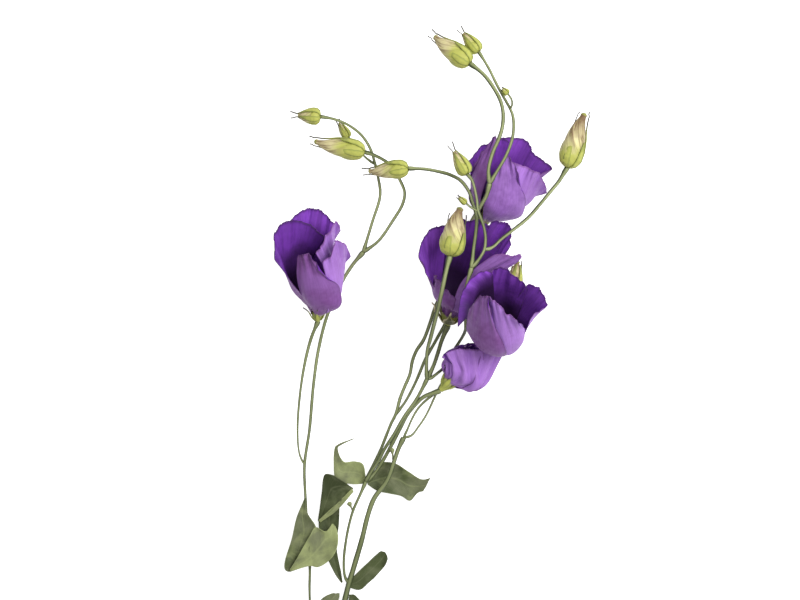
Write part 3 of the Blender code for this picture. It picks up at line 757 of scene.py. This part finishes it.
STEMS = {
    "main_stem": (2.0, 1.2, ((-49.2, -90, 2.1), (-46.8, -69, 2.1), LEFT_JOIN, (-39, -24, 3.2),
        (-34.2, -4.8, 4.4), (-30.9, 9, 6), (-28.2, 18, 7), (-22.8, 36.6, 9), (-19.4, 50.4, 10),
        (-15.6, 60.6, 10.5), (-7.8, 71.4, 11.5), (-3.8, 82.2, 12.5), (-1.2, 90, 13), LOW_JOINT)),
    "left_branch": (0.7, 1.1, (LEFT_JOIN, (-50.4, -24, 2.2), (-54, -6, 2.6), (-54.6, 6, 3),
        (-54.4, 18, 3.4), (-55.8, 39, 3.8), (-57, 60, 4), (-57.6, 80.4, 4), (-54.6, 102, 4),
        (-52.2, 129, 3.8), (-49.2, 150, 3.4), (-43.8, 171, 2.6), (-36, 189, 2.6), (-28.8, 201, 4),
        (-22.2, 208.8, 6))),
    "middle_branch": (0.75, 0.85, ((-30.9, 9, 6), (-33.2, 13.2, 7.5), (-33.9, 22.8, 9), (-32.5, 35.4, 10.5),
        (-30.6, 45, 11), (-28.2, 53.4, 11), (-23.4, 64.2, 11), FORK)),
    "lower_fork_stem": (0.85, 1.2, (FORK, (-18.4, 76.2, 10), (-14.8, 83.4, 9.5), (-11.8, 89.6, 9.5),
        (-7.8, 99.6, 10), (-5.4, 105.6, 10.5), (-2.7, 111, 11), (0, 120.8, 11), (3, 128.4, 11),
        (5.9, 135.2, 10.5), (7.4, 143.2, 10), (9.8, 149.4, 9.5), (14.2, 156, 7.4), (18.3, 166.8, 5.4),
        (20.6, 174, 4.4), (27, 189, 4.4), (34.8, 210, 10.5), (43, 227.4, 27), (48, 236, 36),
        (51.6, 242.4, 39.5), TOP_JOINT)),
    "upper_fork_stem": (1.0, 1.0, (FORK, (-17.2, 76.8, 13.5), (-13.2, 82.8, 15), (-9.6, 90, 16),
        (-4.2, 98.4, 17), (3, 110.7, 17.5), (7.7, 117.1, 18), (11.7, 123.6, 19), UPPER_FORK)),
    "crossing_stem": (0.8, 1.1, (UPPER_FORK, (18.6, 133.2, 20), (23, 136.4, 16.5), (26.6, 139.6, 9),
        (29.4, 144.6, 5.4), (33.2, 150.8, 5.4), (36.8, 156.4, 8), (39, 161, 18), (39.2, 166, 34.5),
        (39, 178, 49.5), (39.6, 188.4, 54.6), BUD_JOINT)),
}

STALKS = {
    "left_flower": (0.4, 1.15, ((-57.6, 80.4, 4), (-60.6, 87, 5), (-61.8, 102, 5), (-60, 126, 4.5),
        (-57, 144, 4), (-53.6, 157, 4))),
    "middle_flower": (1.1, 1.3, (UPPER_FORK, (19.8, 139.8, 18), (22.4, 147, 14), (25.2, 156, 11))),
    "upper_flower": (0.75, 1.2, ((-2.7, 111, 11), (3.2, 118.8, 8), (7.9, 127.4, 6.4), (11.7, 135.8, 6),
        (15, 143.8, 5.5), (21.8, 156, 4.5), (28.8, 169.2, 4), (33.6, 186, 4), (39.6, 207, 6))),
    "front_flower": (0.55, 1.1, (LOW_JOINT, (4.2, 101.6, 12.5), (7, 108, 11), (10.4, 114, 9),
        (14.8, 118.8, 7), (24.2, 126, 3), (33, 133.2, 1.5), (43, 139.5, 1.4), (50, 143, 1.8), (56, 147, 6),
        (58.2, 149, 14))),
    "low_flower": (1.1, 1.2, (FORK, (-16.6, 74.2, 8), (-10.5, 83, 9.5), (-5, 93, 12), (-0.4, 102, 14),
        (4.7, 111.6, 14.4), (9.2, 117.1, 15.6), (14.2, 121.8, 18.6))),
}


# Swelling of a stem at its foot and top, unevenness along it, its ribs and their height, as shares.
FOOT_NODE = 0.35
TOP_NODE = 0.45
UNEVENNESS = 0.035
STEM_RIBS = 5
STEM_RIB_HEIGHT = 0.05

# Stubs left by side shoots: from, to; and their radii.
STUBS = {
    "middle_branch_skin": ((-28.2, 52.8, 11), (-31.0, 58.4, 11.6)),
    "main_stem_skin": ((-4.0, 84.0, 12.6), (-5.0, 91.0, 13.6)),
}
STUB_OUTLINE = ((0.0, 0.75), (0.2, 0.55), (0.45, 0.5), (0.6, 0.8), (0.78, 1.35), (0.92, 1.1), (1.0, 0.45))


def make_stem(name, first, last, route, settings):
    """A stem along a route, its radius going from first to last, with a stub where it has one."""
    finish = bpy.data.materials
    rings = route_curve(route, spread(first, last, route), settings.ring_gap / MM)
    order = np.arange(len(rings))
    swell = 1 + FOOT_NODE * np.exp(-((order - 1.5) / 1.6) ** 2)
    swell += TOP_NODE * np.exp(-((order - len(rings) + 2) / 1.8) ** 2)
    rings[:, 3] *= swell * (1 + UNEVENNESS * waves(order, (0.31, 0.83), len(name)))
    rings[:, 2] = np.maximum(rings[:, 2], rings[:, 3] + LOWEST)
    made = dressed(tube(name, rings, settings.sides, STEM_RIBS, STEM_RIB_HEIGHT), finish["stem_skin"])
    if name in STUBS:
        start, end = [spot(p) for p in STUBS[name]]
        tall = float(np.linalg.norm(end - start))
        outline = [(place * tall, radius) for place, radius in STUB_OUTLINE]
        stub = lathed("stub", start, unit(end - start), outline, 14, 4, 0.12)
        made = joined(name, [made, dressed(stub, finish["leaf_light"])])
    return made


# Turned parts as (place, radius) pairs: receptacle, ovary with its style, stigma lobe and anther.
SLIMMEST = 0.12
RECEPTACLE = ((-7.0, 1.25), (-5.5, 1.8), (-3.6, 2.9), (-1.6, 3.5), (0.0, 3.3), (1.2, 2.2))
OVARY = ((0.0, 1.4), (0.8, 2.0), (2.6, 2.2), (4.6, 1.8), (6.0, 1.1), (6.8, 0.8), (8.6, 0.75), (9.6, 0.8))
LOBE = ((-0.4, 0.4), (0.8, 0.9), (2.0, 1.1), (3.0, 0.4))
ANTHER = ((-1.4, 0.3), (-0.8, 0.7), (0.6, 0.8), (2.0, 0.65), (2.6, 0.25))
LOBE_PLACE = 9.4
LOBE_LEAN = 0.55
# A stamen's filament: place along the flower's axis and distance from it, at its root and its tip; radius.
FILAMENT_ROOT = (1.5, 2.8)
FILAMENT_TIP = (6.6, 3.6)
FILAMENT_RADIUS = 0.28


def lathed(name, origin, axis, outline, sides=20, ribs=0, rib_height=0.0):
    """A turned body along an axis from (place, radius) pairs."""
    outline = np.array(outline)
    fine = np.linspace(outline[0, 0], outline[-1, 0], 4 * len(outline))
    radii = through(outline[:, 1], outline[:, 0], fine)
    centres = origin[None, :] + axis[None, :] * fine[:, None]
    return tube(name, np.column_stack([centres, np.maximum(radii, SLIMMEST)]), sides, ribs, rib_height)


SEPAL_THICKNESS = 0.0006
SEPAL_KEEL = 0.16
THREAD_WIDTH = 0.27


def strip(name, spine, out, widths):
    """A narrow blade along a spine, folded along its middle."""
    tangents = unit(np.gradient(spine, axis=0))
    side = unit(np.cross(out, tangents))
    u = np.linspace(-1, 1, 7)
    points = (spine[:, None, :] + side[:, None, :] * (u[None, :] * widths[:, None])[..., None]
              - out[:, None, :] * (np.abs(u)[None, :] * widths[:, None] * SEPAL_KEEL)[..., None])
    return thicken(bent_grid(name, points), SEPAL_THICKNESS)


# Outlines of a sepal: places along it, and its width there as a share.
THREADED = ((0.0, 0.15, 0.32, 0.5, 0.62, 1.0), (0.55, 0.95, 1.0, 0.55, 0.2, 0.1))
POINTED = ((0.0, 0.2, 0.5, 0.8, 1.0), (0.55, 0.95, 0.85, 0.45, 0.12))


def sepal(name, origin, axis, direction, outline, reach, width, lean=0.0, shape=THREADED):
    """A sepal that hugs an outline and ends in a point or a fine thread."""
    t = np.linspace(0, 1, 26)
    outline = np.array(outline)
    place = outline[0, 0] + (reach - outline[0, 0]) * t
    radius = np.interp(place, outline[:, 0], outline[:, 1]) + 0.45 + lean * ease(0.55, 1.0, t) ** 2
    turn = unit(np.cross(axis, direction))
    sway = 0.5 * lean * ease(0.5, 1.0, t)
    spine = (origin + axis * place[:, None] + direction * radius[:, None] + turn * sway[:, None])
    widths = width * np.interp(t, *shape)
    return strip(name, spine, np.repeat(direction[None, :], len(t), 0), np.maximum(widths, THREAD_WIDTH))


def around(axis, degrees):
    """A direction square to the axis, turned round it."""
    side = unit(np.cross(axis, (0.0, 0.0, 1.0)))
    up = np.cross(axis, side)
    turn = math.radians(degrees)
    return side * math.cos(turn) + up * math.sin(turn)


CALYX = ((-5.0, 1.6), (-3.0, 3.1), (-1.0, 4.0), (1.0, 4.6), (4.0, 6.4), (8.0, 10.0), (14.0, 14.5))

# Each flower's calyx: length and girth of the receptacle, then the sepals' width, reach and finish.
CALYCES = {
    "left_flower": (0.85, 1.0, 1.1, 7.0, "sepal_skin"),
    "middle_flower": (1.1, 1.55, 3.6, 13.0, "sepal_dark"),
    "upper_flower": (0.8, 1.0, 1.2, 6.0, "sepal_skin"),
    "front_flower": (0.5, 0.9, 1.1, 4.0, "sepal_skin"),
    "low_flower": (1.15, 1.1, 1.5, 7.0, "sepal_skin"),
}


def make_heart(flower, settings, finish):
    """Stalk, receptacle, ovary, style and stigma as one piece; sepals and stamens ride beside it."""
    first, last, route = STALKS[flower.name]
    tall, girth, width, reach, skin = CALYCES[flower.name]
    cup = [(place * tall, radius * (1 + (girth - 1) * (k > 0)))
           for k, (place, radius) in enumerate(RECEPTACLE)]
    hug = [(place, radius * (1 + (girth - 1) * (place < 6))) for place, radius in CALYX]
    lead = tuple(flower.base + flower.axis * cup[0][0] + CENTRE)
    path = (*route, lead)
    stalk = make_stem("stalk", first, last, path, settings)
    head = lathed("head", flower.base, flower.axis, cup, 24, 5, 0.04)
    ovary = lathed("ovary", flower.base, flower.axis, OVARY, 20)
    dressed(head, finish["calyx_skin"])
    dressed(ovary, finish["calyx_skin"])
    lobes = []
    for sign in (-1, 1):
        axis = unit(flower.axis + sign * LOBE_LEAN * flower.right)
        lobe = lathed("lobe", flower.base + flower.axis * LOBE_PLACE, axis, LOBE, 14)
        lobes.append(dressed(lobe, finish["bud_green"]))
    placed(joined(f"{flower.name}_heart", [stalk, head, ovary, *lobes]), "stem", f"{flower.name}_stalk")
    stamens = []
    for k in range(5):
        out = around(flower.axis, 72 * k + 20)
        root, tip = [flower.base + flower.axis * a + out * b for a, b in (FILAMENT_ROOT, FILAMENT_TIP)]
        rings = np.column_stack([np.linspace(root, tip, 8), np.full(8, FILAMENT_RADIUS)])
        stamens.append(dressed(tube("filament", rings, 8), finish["calyx_skin"]))
        anther = lathed("anther", tip, unit(flower.axis + 0.3 * out), ANTHER, 12)
        stamens.append(dressed(anther, finish["pollen"]))
    placed(joined(f"{flower.name}_stamens", stamens), "petal")
    sepals = [sepal("sepal", flower.base, flower.axis, around(flower.axis, 72 * k + 54), hug,
                    reach * (1 + 0.25 * math.sin(k * 2.1)), width, 0.6) for k in range(5)]
    placed(dressed(joined(f"{flower.name}_sepals", sepals), finish[skin]), "stem")


# ---------------------------------------------------------------- buds

# Each bud: route, tip, first, last and widest radius, sepals' reach, finish.
BUDS = {
    "left_long_bud": (((-22.2, 208.8, 6), (-16.8, 226.8, 8), (-12, 243, 10), (-13.2, 253.8, 12),
        (-15.6, 264, 13), (-18, 271.2, 14), (-22.8, 278.7, 14), (-30.6, 285, 13), (-39.6, 288.8, 12),
        (-48, 290.4, 11)), (-61.5, 291.6, 9), 0.9, 0.8, 4.6, 1.25, "bud_green"),
    "left_near_bud": (((-22.2, 208.8, 6), (-13.2, 215.4, 8), (-4.2, 228, 12), (1.5, 237.6, 16),
        (2.8, 244.8, 19.5), (0, 252, 22), (-3.6, 258.6, 23), (-7.8, 262.8, 23), (-16.2, 267.3, 22),
        (-21.3, 268.9, 21)), (-51.5, 276, 18), 0.9, 1.0, 5.6, 1.02, "bud_green"),
    "left_small_bud": (((-15.6, 262, 12.8), (-18, 263.6, 10.5), (-21.3, 266.4, 9), (-27, 272.4, 7.2),
        (-31.2, 278, 6)), (-36.6, 287.1, 5), 0.6, 0.6, 2.4, 1.1, "bud_green"),
    "crossing_bud": ((BUD_JOINT, (43.2, 204, 53.4), (43.8, 210.3, 51.8), (45, 219, 51.5),
        (45.7, 227.4, 51.5), (45.2, 231.6, 51.5), (43.2, 238.2, 51), (41.3, 244.2, 50), (36, 251.4, 47.5),
        (30, 254.7, 45.5), (26.8, 255.8, 44.5), (15.3, 258.2, 41), (4.8, 258.7, 38)), (-19, 257.5, 31), 1.1,
        1.0, 5.0, 1.08, "bud_green"),
    "centre_bud": ((BUD_JOINT, (45.8, 202.6, 55), (48.4, 206.4, 56), (50.2, 210, 56), (50.9, 216.8, 56),
        (49.8, 223.8, 56), (47.5, 230.3, 56.5), (46.4, 233.4, 56.5), (45.6, 240.6, 56), (42.8, 251.4, 55.5),
        (39.9, 255, 55)), (32.5, 268.8, 53), 1.0, 0.8, 4.2, 1.25, "bud_green"),
    "tiny_bud": (((46.6, 233.0, 56), (44, 234, 57.5), (40.9, 236.1, 58), (39.3, 237.6, 58)),
        (34.8, 241.2, 58.5), 0.4, 0.4, 1.3, 1.1, "bud_green"),
    "right_bud": (((50.4, 210.2, 56), (53.2, 210.6, 53.5), (56.3, 212.4, 51), (60, 216, 50),
        (65, 219.9, 49), (76.6, 229.2, 46.5), (84, 237.6, 45), (90, 244.9, 43.5), (95, 251, 42.5),
        (98.7, 257.1, 42), (100.2, 259.2, 42)), (111, 291.6, 42), 0.9, 1.2, 6.6, 0.95, "bud_brown"),
    "front_bud": ((UPPER_FORK, (15.8, 139.4, 25), (16.4, 150, 31), (18.2, 157.2, 37), (20.6, 166.8, 43.5),
        (23, 176.4, 49), (25.2, 186.6, 52.5), (28.2, 200.4, 53.5), (29.8, 206.4, 53.5)), (36.6, 235.2, 52),
        1.0, 1.4, 7.0, 0.8, "bud_ripe"),
    "top_bud": ((TOP_JOINT, (52.8, 257.4, 45), (55.1, 267.4, 47), (58.8, 276, 47), (60.9, 282.6, 46.4),
        (61.6, 290.6, 45.4), (60.2, 298.4, 43.4), (56.1, 306.6, 41), (51, 313.8, 39), (46.2, 318.3, 37),
        (41.7, 321.6, 35)), (20.7, 338.7, 28), 1.1, 1.2, 6.0, 1.05, "bud_green"),
    "top_right_bud": ((TOP_JOINT, (58, 257, 43.4), (63.4, 266.4, 45.8), (66.9, 276, 44.6),
        (67.9, 284.4, 42), (67.2, 291, 39.4), (65.7, 294.7, 38.5), (61.6, 302.1, 37), (57.9, 309, 35.5),
        (53.4, 318.3, 33), (49.2, 325.5, 31), (47.1, 328.8, 30)), (38.1, 340.2, 27), 1.0, 0.8, 4.0, 1.2,
        "bud_green"),
    "top_small_bud": (((65.9, 294.4, 38.6), (67, 296.6, 41), (66.6, 300, 42), (64.4, 303.2, 42)),
        (61, 306.4, 42), 0.45, 0.45, 1.6, 1.05, "bud_green"),
    "hidden_bud": ((LOW_JOINT, (6.8, 98.4, 11.5), (11.2, 103.8, 10.5), (15.5, 110.2, 9.6),
        (18.8, 116.9, 8.8), (21, 121.8, 8), (24.6, 129, 6), (33, 141, 2.4), (45, 153, 3.6),
        (58.2, 169.2, 14), (66, 181.8, 20), (67.8, 186, 22)), (71.2, 203.4, 26), 0.6, 0.7, 4.2, 0.9,
        "bud_ripe"),
}

# Radii under which a bud is tiny or still wrapped in green, a furled petal's share before its step,
# the widest sepal, and how far up or down a sepal may face and still end in a thread.
TINY_BUD = 3
GREEN_BUD = 4.7
LAP = 0.86
WIDEST_SEPAL = 2.3
FLANK = 0.62
BUD_OUTLINE = ((0.0, 0.30), (0.05, 0.70), (0.16, 0.98), (0.34, 1.0), (0.56, 0.84), (0.76, 0.56),
               (0.92, 0.28), (0.985, 0.20), (1.0, 0.06))


def make_bud(name, settings, stems, finish):
    """A bud on its stalk: furled petals that wind round each other, five sepals with fine tips."""
    route, tip, first, last, widest, reach, skin = BUDS[name]
    stalk = make_stem("stalk", first, last, route, stems)
    base, tip = spot(route[-1]), spot(tip)
    axis = unit(tip - base)
    tall = float(np.linalg.norm(tip - base))
    rows = 64 if widest > TINY_BUD else 28
    sides = settings.sides if widest > TINY_BUD else 24
    v = np.linspace(0, 1, rows + 1)
    outline = np.array(BUD_OUTLINE)
    radii = np.maximum(through(outline[:, 1], outline[:, 0], v) * widest, 0.1)
    bow = np.array((-axis[1], axis[0], 0.0)) * (0.04 * tall * np.sin(v * math.pi * 0.9))[:, None]
    centres = base + axis * (v * tall)[:, None] + bow
    side, up = frames(centres)
    turn = np.linspace(0, 2 * math.pi, sides + 1)
    step = (turn[None, :] / (2 * math.pi) * FURLS + WIND * FURLS * v[:, None]) % 1.0
    step = np.where(step < LAP, step / LAP, 1 - (step - LAP) / (1 - LAP))
    depth = settings.furl * ease(0.1, 0.5, v)[:, None] * (1.2 - 0.2 * v[:, None])
    radius = radii[:, None] * (1 + depth * (step - 0.5))
    turn[-1] = 0.0
    points = (centres[:, None, :] + side[:, None, :] * (np.cos(turn) * radius)[..., None]
              + up[:, None, :] * (np.sin(turn) * radius)[..., None])
    points[:, -1] = points[:, 0]
    body = dressed(rolled("body", points), finish[skin])
    kind = "bud" if skin == "bud_green" else "ripe_bud"
    placed(joined(f"{name}_whole", [stalk, body]), kind, name)
    hug = [(0.0, 0.2 * widest)]
    hug += [(place * tall, radius * widest) for place, radius in BUD_OUTLINE[1:]]
    hug.append((tall * 1.5, 0.3))
    width = min(WIDEST_SEPAL, 0.42 * widest)
    sepals = []
    for k in range(5):
        out = around(axis, 72 * k + 31)
        if abs(out[2]) < FLANK:
            end, lean, shape, skin = reach * (1.0 + 0.1 * math.cos(k * 2.6)), 0.34, THREADED, "sepal_skin"
        else:
            end, lean, shape, skin = 0.9 if widest < GREEN_BUD else 0.5, 0.0, POINTED, "sepal_plain"
        made = sepal("sepal", base, axis, out, hug, tall * end, width, lean * widest, shape)
        sepals.append(dressed(made, finish[skin]))
    placed(joined(f"{name}_sepals", sepals), "stem")


# ---------------------------------------------------------------- leaves

# Each leaf: its blades, each with a left and a right edge from foot to tip, and a finish.
LEAVES = {
    "left_leaf_grey": ((((-55.4, 20.0, 5.4), (-63, 17.6, 6), (-68.4, 16.6, 6.4), (-69.4, 22.2, 7.6),
        (-65, 36.8, 9), (-62.2, 49.4, 8.4), (-57.4, 60.6, 6.4)), ((-54.2, 20.6, 6.6), (-54.6, 27, 8.6),
        (-53.6, 34, 9.8), (-51.6, 40, 10.4), (-50.8, 43.8, 10), (-55.6, 51.6, 7.6), (-57, 60.4, 6.2)),
        "leaf_grey"),),
    "left_leaf_light": ((((-66.5, 17.2, 8.4), (-62.5, 24, 10), (-58, 32, 11), (-54.4, 38.4, 11.4),
        (-51, 43.2, 11.2), (-46.6, 41, 10.8), (-44, 41, 10.6), (-40.6, 45.2, 9.6)), ((-66, 16.6, 8),
        (-54.6, 19.8, 7.6), (-49.4, 19.4, 7.6), (-45, 21.2, 8), (-41, 25, 9), (-38.2, 30, 9.8),
        (-37.2, 37, 10.4), (-38.4, 42.6, 9.8), (-40.2, 45, 9)), "leaf_light"),),
    "long_dark_leaf": ((((-35.2, 9.4, 8.2), (-38.6, 14, 7.6), (-43.6, 24, 6.4), (-46.4, 34, 4.4),
        (-48.8, 42, 3), (-48.8, 50, 2.4)), ((-34.6, 10.6, 8.6), (-35.4, 16, 8), (-38, 28.6, 6.6),
        (-38, 36, 4.8), (-36.8, 45, 3.2), (-36.4, 60, 2.4)), "leaf_dark"), (((-49.4, 46.6, 3.4),
        (-48.8, 52, 4), (-46.8, 66, 5.4), (-45.6, 74.6, 7), (-40.8, 74.6, 7.4), (-36, 72, 7.6),
        (-28.8, 66.8, 7.4)), ((-48.8, 46.2, 4.4), (-46, 49, 5), (-41.4, 53.4, 5.8), (-37.6, 57, 6.4),
        (-34, 60.6, 7), (-31, 63.6, 7.4), (-28.2, 66.4, 7.4)), "leaf_dark"), (((-49.2, 47.2, 5.6),
        (-39, 56.4, 7.6), (-28.8, 66.6, 8.8)), ((-48.2, 45.8, 5.4), (-37.4, 53.8, 7.2), (-28, 64.4, 8.6)),
        "leaf_light")),
    "curled_leaf": ((((-20.6, 69.6, 8), (-25.2, 69, 6.6), (-31, 69.4, 5.6), (-38, 70.4, 5.4),
        (-39.8, 76, 7), (-39.6, 89, 13), (-37, 93.2, 16), (-27.8, 96.8, 17)), ((-20.4, 71.4, 8.4),
        (-22, 80.8, 7.8), (-27, 82.8, 7.6), (-33, 82.4, 8), (-36, 85.4, 10), (-37.4, 90.4, 14),
        (-35.6, 92.8, 16.4), (-27.8, 96.6, 17.2)), "leaf_light"),),
    "right_leaf": ((((-19.8, 70.4, 6.4), (-14.6, 78, 5.4), (-10.4, 82.2, 5.2), (-2.4, 81.4, 5),
        (4.8, 76.8, 4.4), (12.6, 72, 3.6), (18.4, 72.6, 4.8)), ((-19.4, 68.6, 6.2), (-13.4, 64.8, 5),
        (-6.6, 63.4, 4), (0.6, 61.8, 3), (6.2, 59, 2.4), (10.4, 63.4, 3), (14, 64.6, 4)), "leaf_grey"),),
    "low_right_leaf": ((((-32.6, 9, 5.2), (-25.8, 15.6, 5), (-19.4, 21.6, 4.6), (-14.2, 26.6, 4.4),
        (-11.6, 28.6, 4.3), (-9.6, 28.2, 4.2)), ((-31.6, 7, 4.4), (-24.6, 5.2, 4), (-19, 9.4, 3.6),
        (-14, 14, 3.4), (-9.4, 19.4, 3.6), (-7.4, 24, 3.7), (-8.8, 27.8, 4)), "leaf_dark"),),
    "foot_left_leaf": ((((-37.2, 3.2, 5.6), (-42, 2.8, 5.6), (-47.8, -1, 5), (-51.6, -10, 2.4),
        (-49, -21.6, 0.7)), ((-36.4, 3.2, 5.8), (-36.8, 0, 5.8), (-38.6, -6, 4.6), (-42, -12, 2.6),
        (-47.6, -21.4, 0.7)), "leaf_grey"),),
    "foot_right_leaf": ((((-30.6, 2.4, 5), (-26.4, 1.4, 5.2), (-17.6, -10, 2.6), (-20, -21.4, 0.7)),
        ((-31, -0.4, 4.6), (-29.6, -5, 4.8), (-26.6, -12, 2.4), (-21, -21.6, 0.7)), "leaf_dark"),),
}


# Depth of a leaf's trough, height of its margin's waves, of its side veins and of its bumps, in mm, on a
# leaf of the usual width.
TROUGH = 1.5
MARGIN_WAVE = 0.7
VEIN_HEIGHT = 0.12
BUMP = 0.25
LEAF_WIDTH = 16.0


def make_leaf(name, settings, finish):
    """Leaf blades between their edges, with a sunk midrib and waves along the margins."""
    blades = []
    v = np.linspace(0, 1, settings.along + 1)
    u = np.linspace(-1, 1, settings.across + 1)
    wide, tall = np.meshgrid(u, v)
    for k, (left, right, skin) in enumerate(LEAVES[name]):
        seed = sum(map(ord, name)) + 31 * k
        left, right = [through([spot(p) for p in edge], np.linspace(0, 1, len(edge)), v)
                       for edge in (left, right)]
        points = left[:, None, :] + (right - left)[:, None, :] * ((wide + 1) / 2)[..., None]
        face = unit(np.cross(np.gradient(points, axis=1), np.gradient(points, axis=0)))
        reach = np.linalg.norm(right - left, axis=1)[:, None] / LEAF_WIDTH
        lift = TROUGH * (np.abs(wide) ** 1.6 - 0.5) * reach
        lift += MARGIN_WAVE * np.abs(wide) ** 2 * waves(tall + 0.1 * wide, (9, 15, 26), seed + 3) * reach
        bumps = waves(wide * 2 + tall, (1.0, 2.2), seed + 4) * waves(tall * 6, (1.0, 1.7), seed + 5)
        lift += BUMP * bumps
        veins = np.sin(tall * 9 * 2 * math.pi - np.abs(wide) * 9)
        lift += VEIN_HEIGHT * veins * np.abs(wide) * (1 - np.abs(wide))
        points = points + face * lift[..., None]
        points[..., 2] = np.maximum(points[..., 2], LOWEST)
        blade = bent_grid("blade", points)
        blades.append(dressed(thicken(blade, settings.thickness), finish[skin]))
    placed(joined(f"{name}_blade", blades), "leaf", name)


# ---------------------------------------------------------------- operators

class SPRAY_OT_stage(bpy.types.Operator):
    """Floor, soft light and a camera that looks straight down on the spray"""
    bl_idname = "spray.stage"
    bl_label = "Stage"

    def execute(self, context):
        settings = context.scene.spray_stage
        bpy.ops.object.select_all(action="DESELECT")
        bpy.ops.mesh.primitive_plane_add(size=settings.floor_size, location=(0, 0, 0))
        floor = bpy.context.object
        floor.name = "floor"
        paper = Pattern("floor_paper", 0.9, specular=0.1)
        grain = paper.noise(paper.space("Object"), 300.0, 2.0)
        tone = paper.mix(grain, [c * 0.98 for c in settings.floor_colour], settings.floor_colour)
        dressed(floor, paper.finish(tone, grain, 0.05, 0.0001))
        paper.shader.inputs["Emission Color"].default_value = (1, 1, 1, 1)
        paper.shader.inputs["Emission Strength"].default_value = settings.floor_glow
        floor.visible_diffuse = False
        world = bpy.data.worlds.new("studio")
        world.use_nodes = True
        sky = world.node_tree.nodes["Background"]
        sky.inputs["Color"].default_value = (1, 1, 1, 1)
        sky.inputs["Strength"].default_value = settings.sky
        context.scene.world = world
        bpy.ops.object.light_add(type="AREA", location=KEY_PLACE)
        key = bpy.context.object
        key.name = "key_light"
        key.data.energy = settings.key_power
        key.data.size = settings.key_size
        key.rotation_euler = (-key.location).to_track_quat("-Z", "Y").to_euler()
        middle = spot(VIEW_MIDDLE) * MM
        bpy.ops.object.camera_add(location=(middle[0], middle[1], middle[2] + settings.camera_height))
        camera = bpy.context.object
        camera.data.lens = settings.focal
        camera.data.sensor_width = SENSOR_WIDTH
        camera.data.clip_end = FARTHEST_VIEW
        context.scene.camera = camera
        context.scene.view_settings.view_transform = "Standard"
        return {"FINISHED"}


class SPRAY_OT_stems(bpy.types.Operator):
    """Main stem, branches and forks"""
    bl_idname = "spray.stems"
    bl_label = "Stems"

    def execute(self, context):
        materials()
        for name, (first, last, route) in STEMS.items():
            placed(make_stem(f"{name}_skin", first, last, route, context.scene.spray_stems), "stem", name)
        return {"FINISHED"}


class SPRAY_OT_hearts(bpy.types.Operator):
    """Flower stalks with calyx, ovary, stigma, stamens and sepals"""
    bl_idname = "spray.hearts"
    bl_label = "Flower hearts"

    def execute(self, context):
        finish = materials()
        for flower in FLOWERS:
            make_heart(flower, context.scene.spray_stems, finish)
        return {"FINISHED"}


class SPRAY_OT_petals(bpy.types.Operator):
    """Petals of the five open flowers"""
    bl_idname = "spray.petals"
    bl_label = "Petals"

    def execute(self, context):
        finish = materials()
        for flower in FLOWERS:
            make_petals(flower, context.scene.spray_petals, finish)
        return {"FINISHED"}


class SPRAY_OT_buds(bpy.types.Operator):
    """Buds on their stalks, with their sepals"""
    bl_idname = "spray.buds"
    bl_label = "Buds"

    def execute(self, context):
        finish = materials()
        for name in BUDS:
            make_bud(name, context.scene.spray_buds, context.scene.spray_stems, finish)
        return {"FINISHED"}


class SPRAY_OT_leaves(bpy.types.Operator):
    """Leaves, large and small"""
    bl_idname = "spray.leaves"
    bl_label = "Leaves"

    def execute(self, context):
        finish = materials()
        for name in LEAVES:
            make_leaf(name, context.scene.spray_leaves, finish)
        return {"FINISHED"}


OPERATORS = (SPRAY_OT_stage, SPRAY_OT_stems, SPRAY_OT_hearts, SPRAY_OT_petals, SPRAY_OT_buds,
             SPRAY_OT_leaves)
SETTINGS = {
    "spray_stage": SprayStageSettings,
    "spray_petals": SprayPetalSettings,
    "spray_stems": SprayStemSettings,
    "spray_buds": SprayBudSettings,
    "spray_leaves": SprayLeafSettings,
}


class SPRAY_PT_panel(bpy.types.Panel):
    """Lists the spray's sizes and colours with the tools that build it"""
    bl_idname = "SPRAY_PT_panel"
    bl_label = "Lisianthus Spray"
    bl_space_type = "VIEW_3D"
    bl_region_type = "UI"
    bl_category = "Spray"

    def draw(self, context):
        for operator in OPERATORS:
            self.layout.operator(operator.bl_idname)
        for key, group in SETTINGS.items():
            box = self.layout.box()
            for prop in group.__annotations__:
                box.prop(getattr(context.scene, key), prop)


CLASSES = (*SETTINGS.values(), *OPERATORS, SPRAY_PT_panel)


def register():
    for cls in CLASSES:
        bpy.utils.register_class(cls)
    for key, group in SETTINGS.items():
        setattr(bpy.types.Scene, key, bpy.props.PointerProperty(type=group))


def unregister():
    for key in SETTINGS:
        delattr(bpy.types.Scene, key)
    for cls in reversed(CLASSES):
        bpy.utils.unregister_class(cls)


def main():
    register()
    bpy.ops.spray.stage()
    bpy.ops.spray.stems()
    bpy.ops.spray.hearts()
    bpy.ops.spray.petals()
    bpy.ops.spray.buds()
    bpy.ops.spray.leaves()
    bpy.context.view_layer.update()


if __name__ == "__main__":
    main()
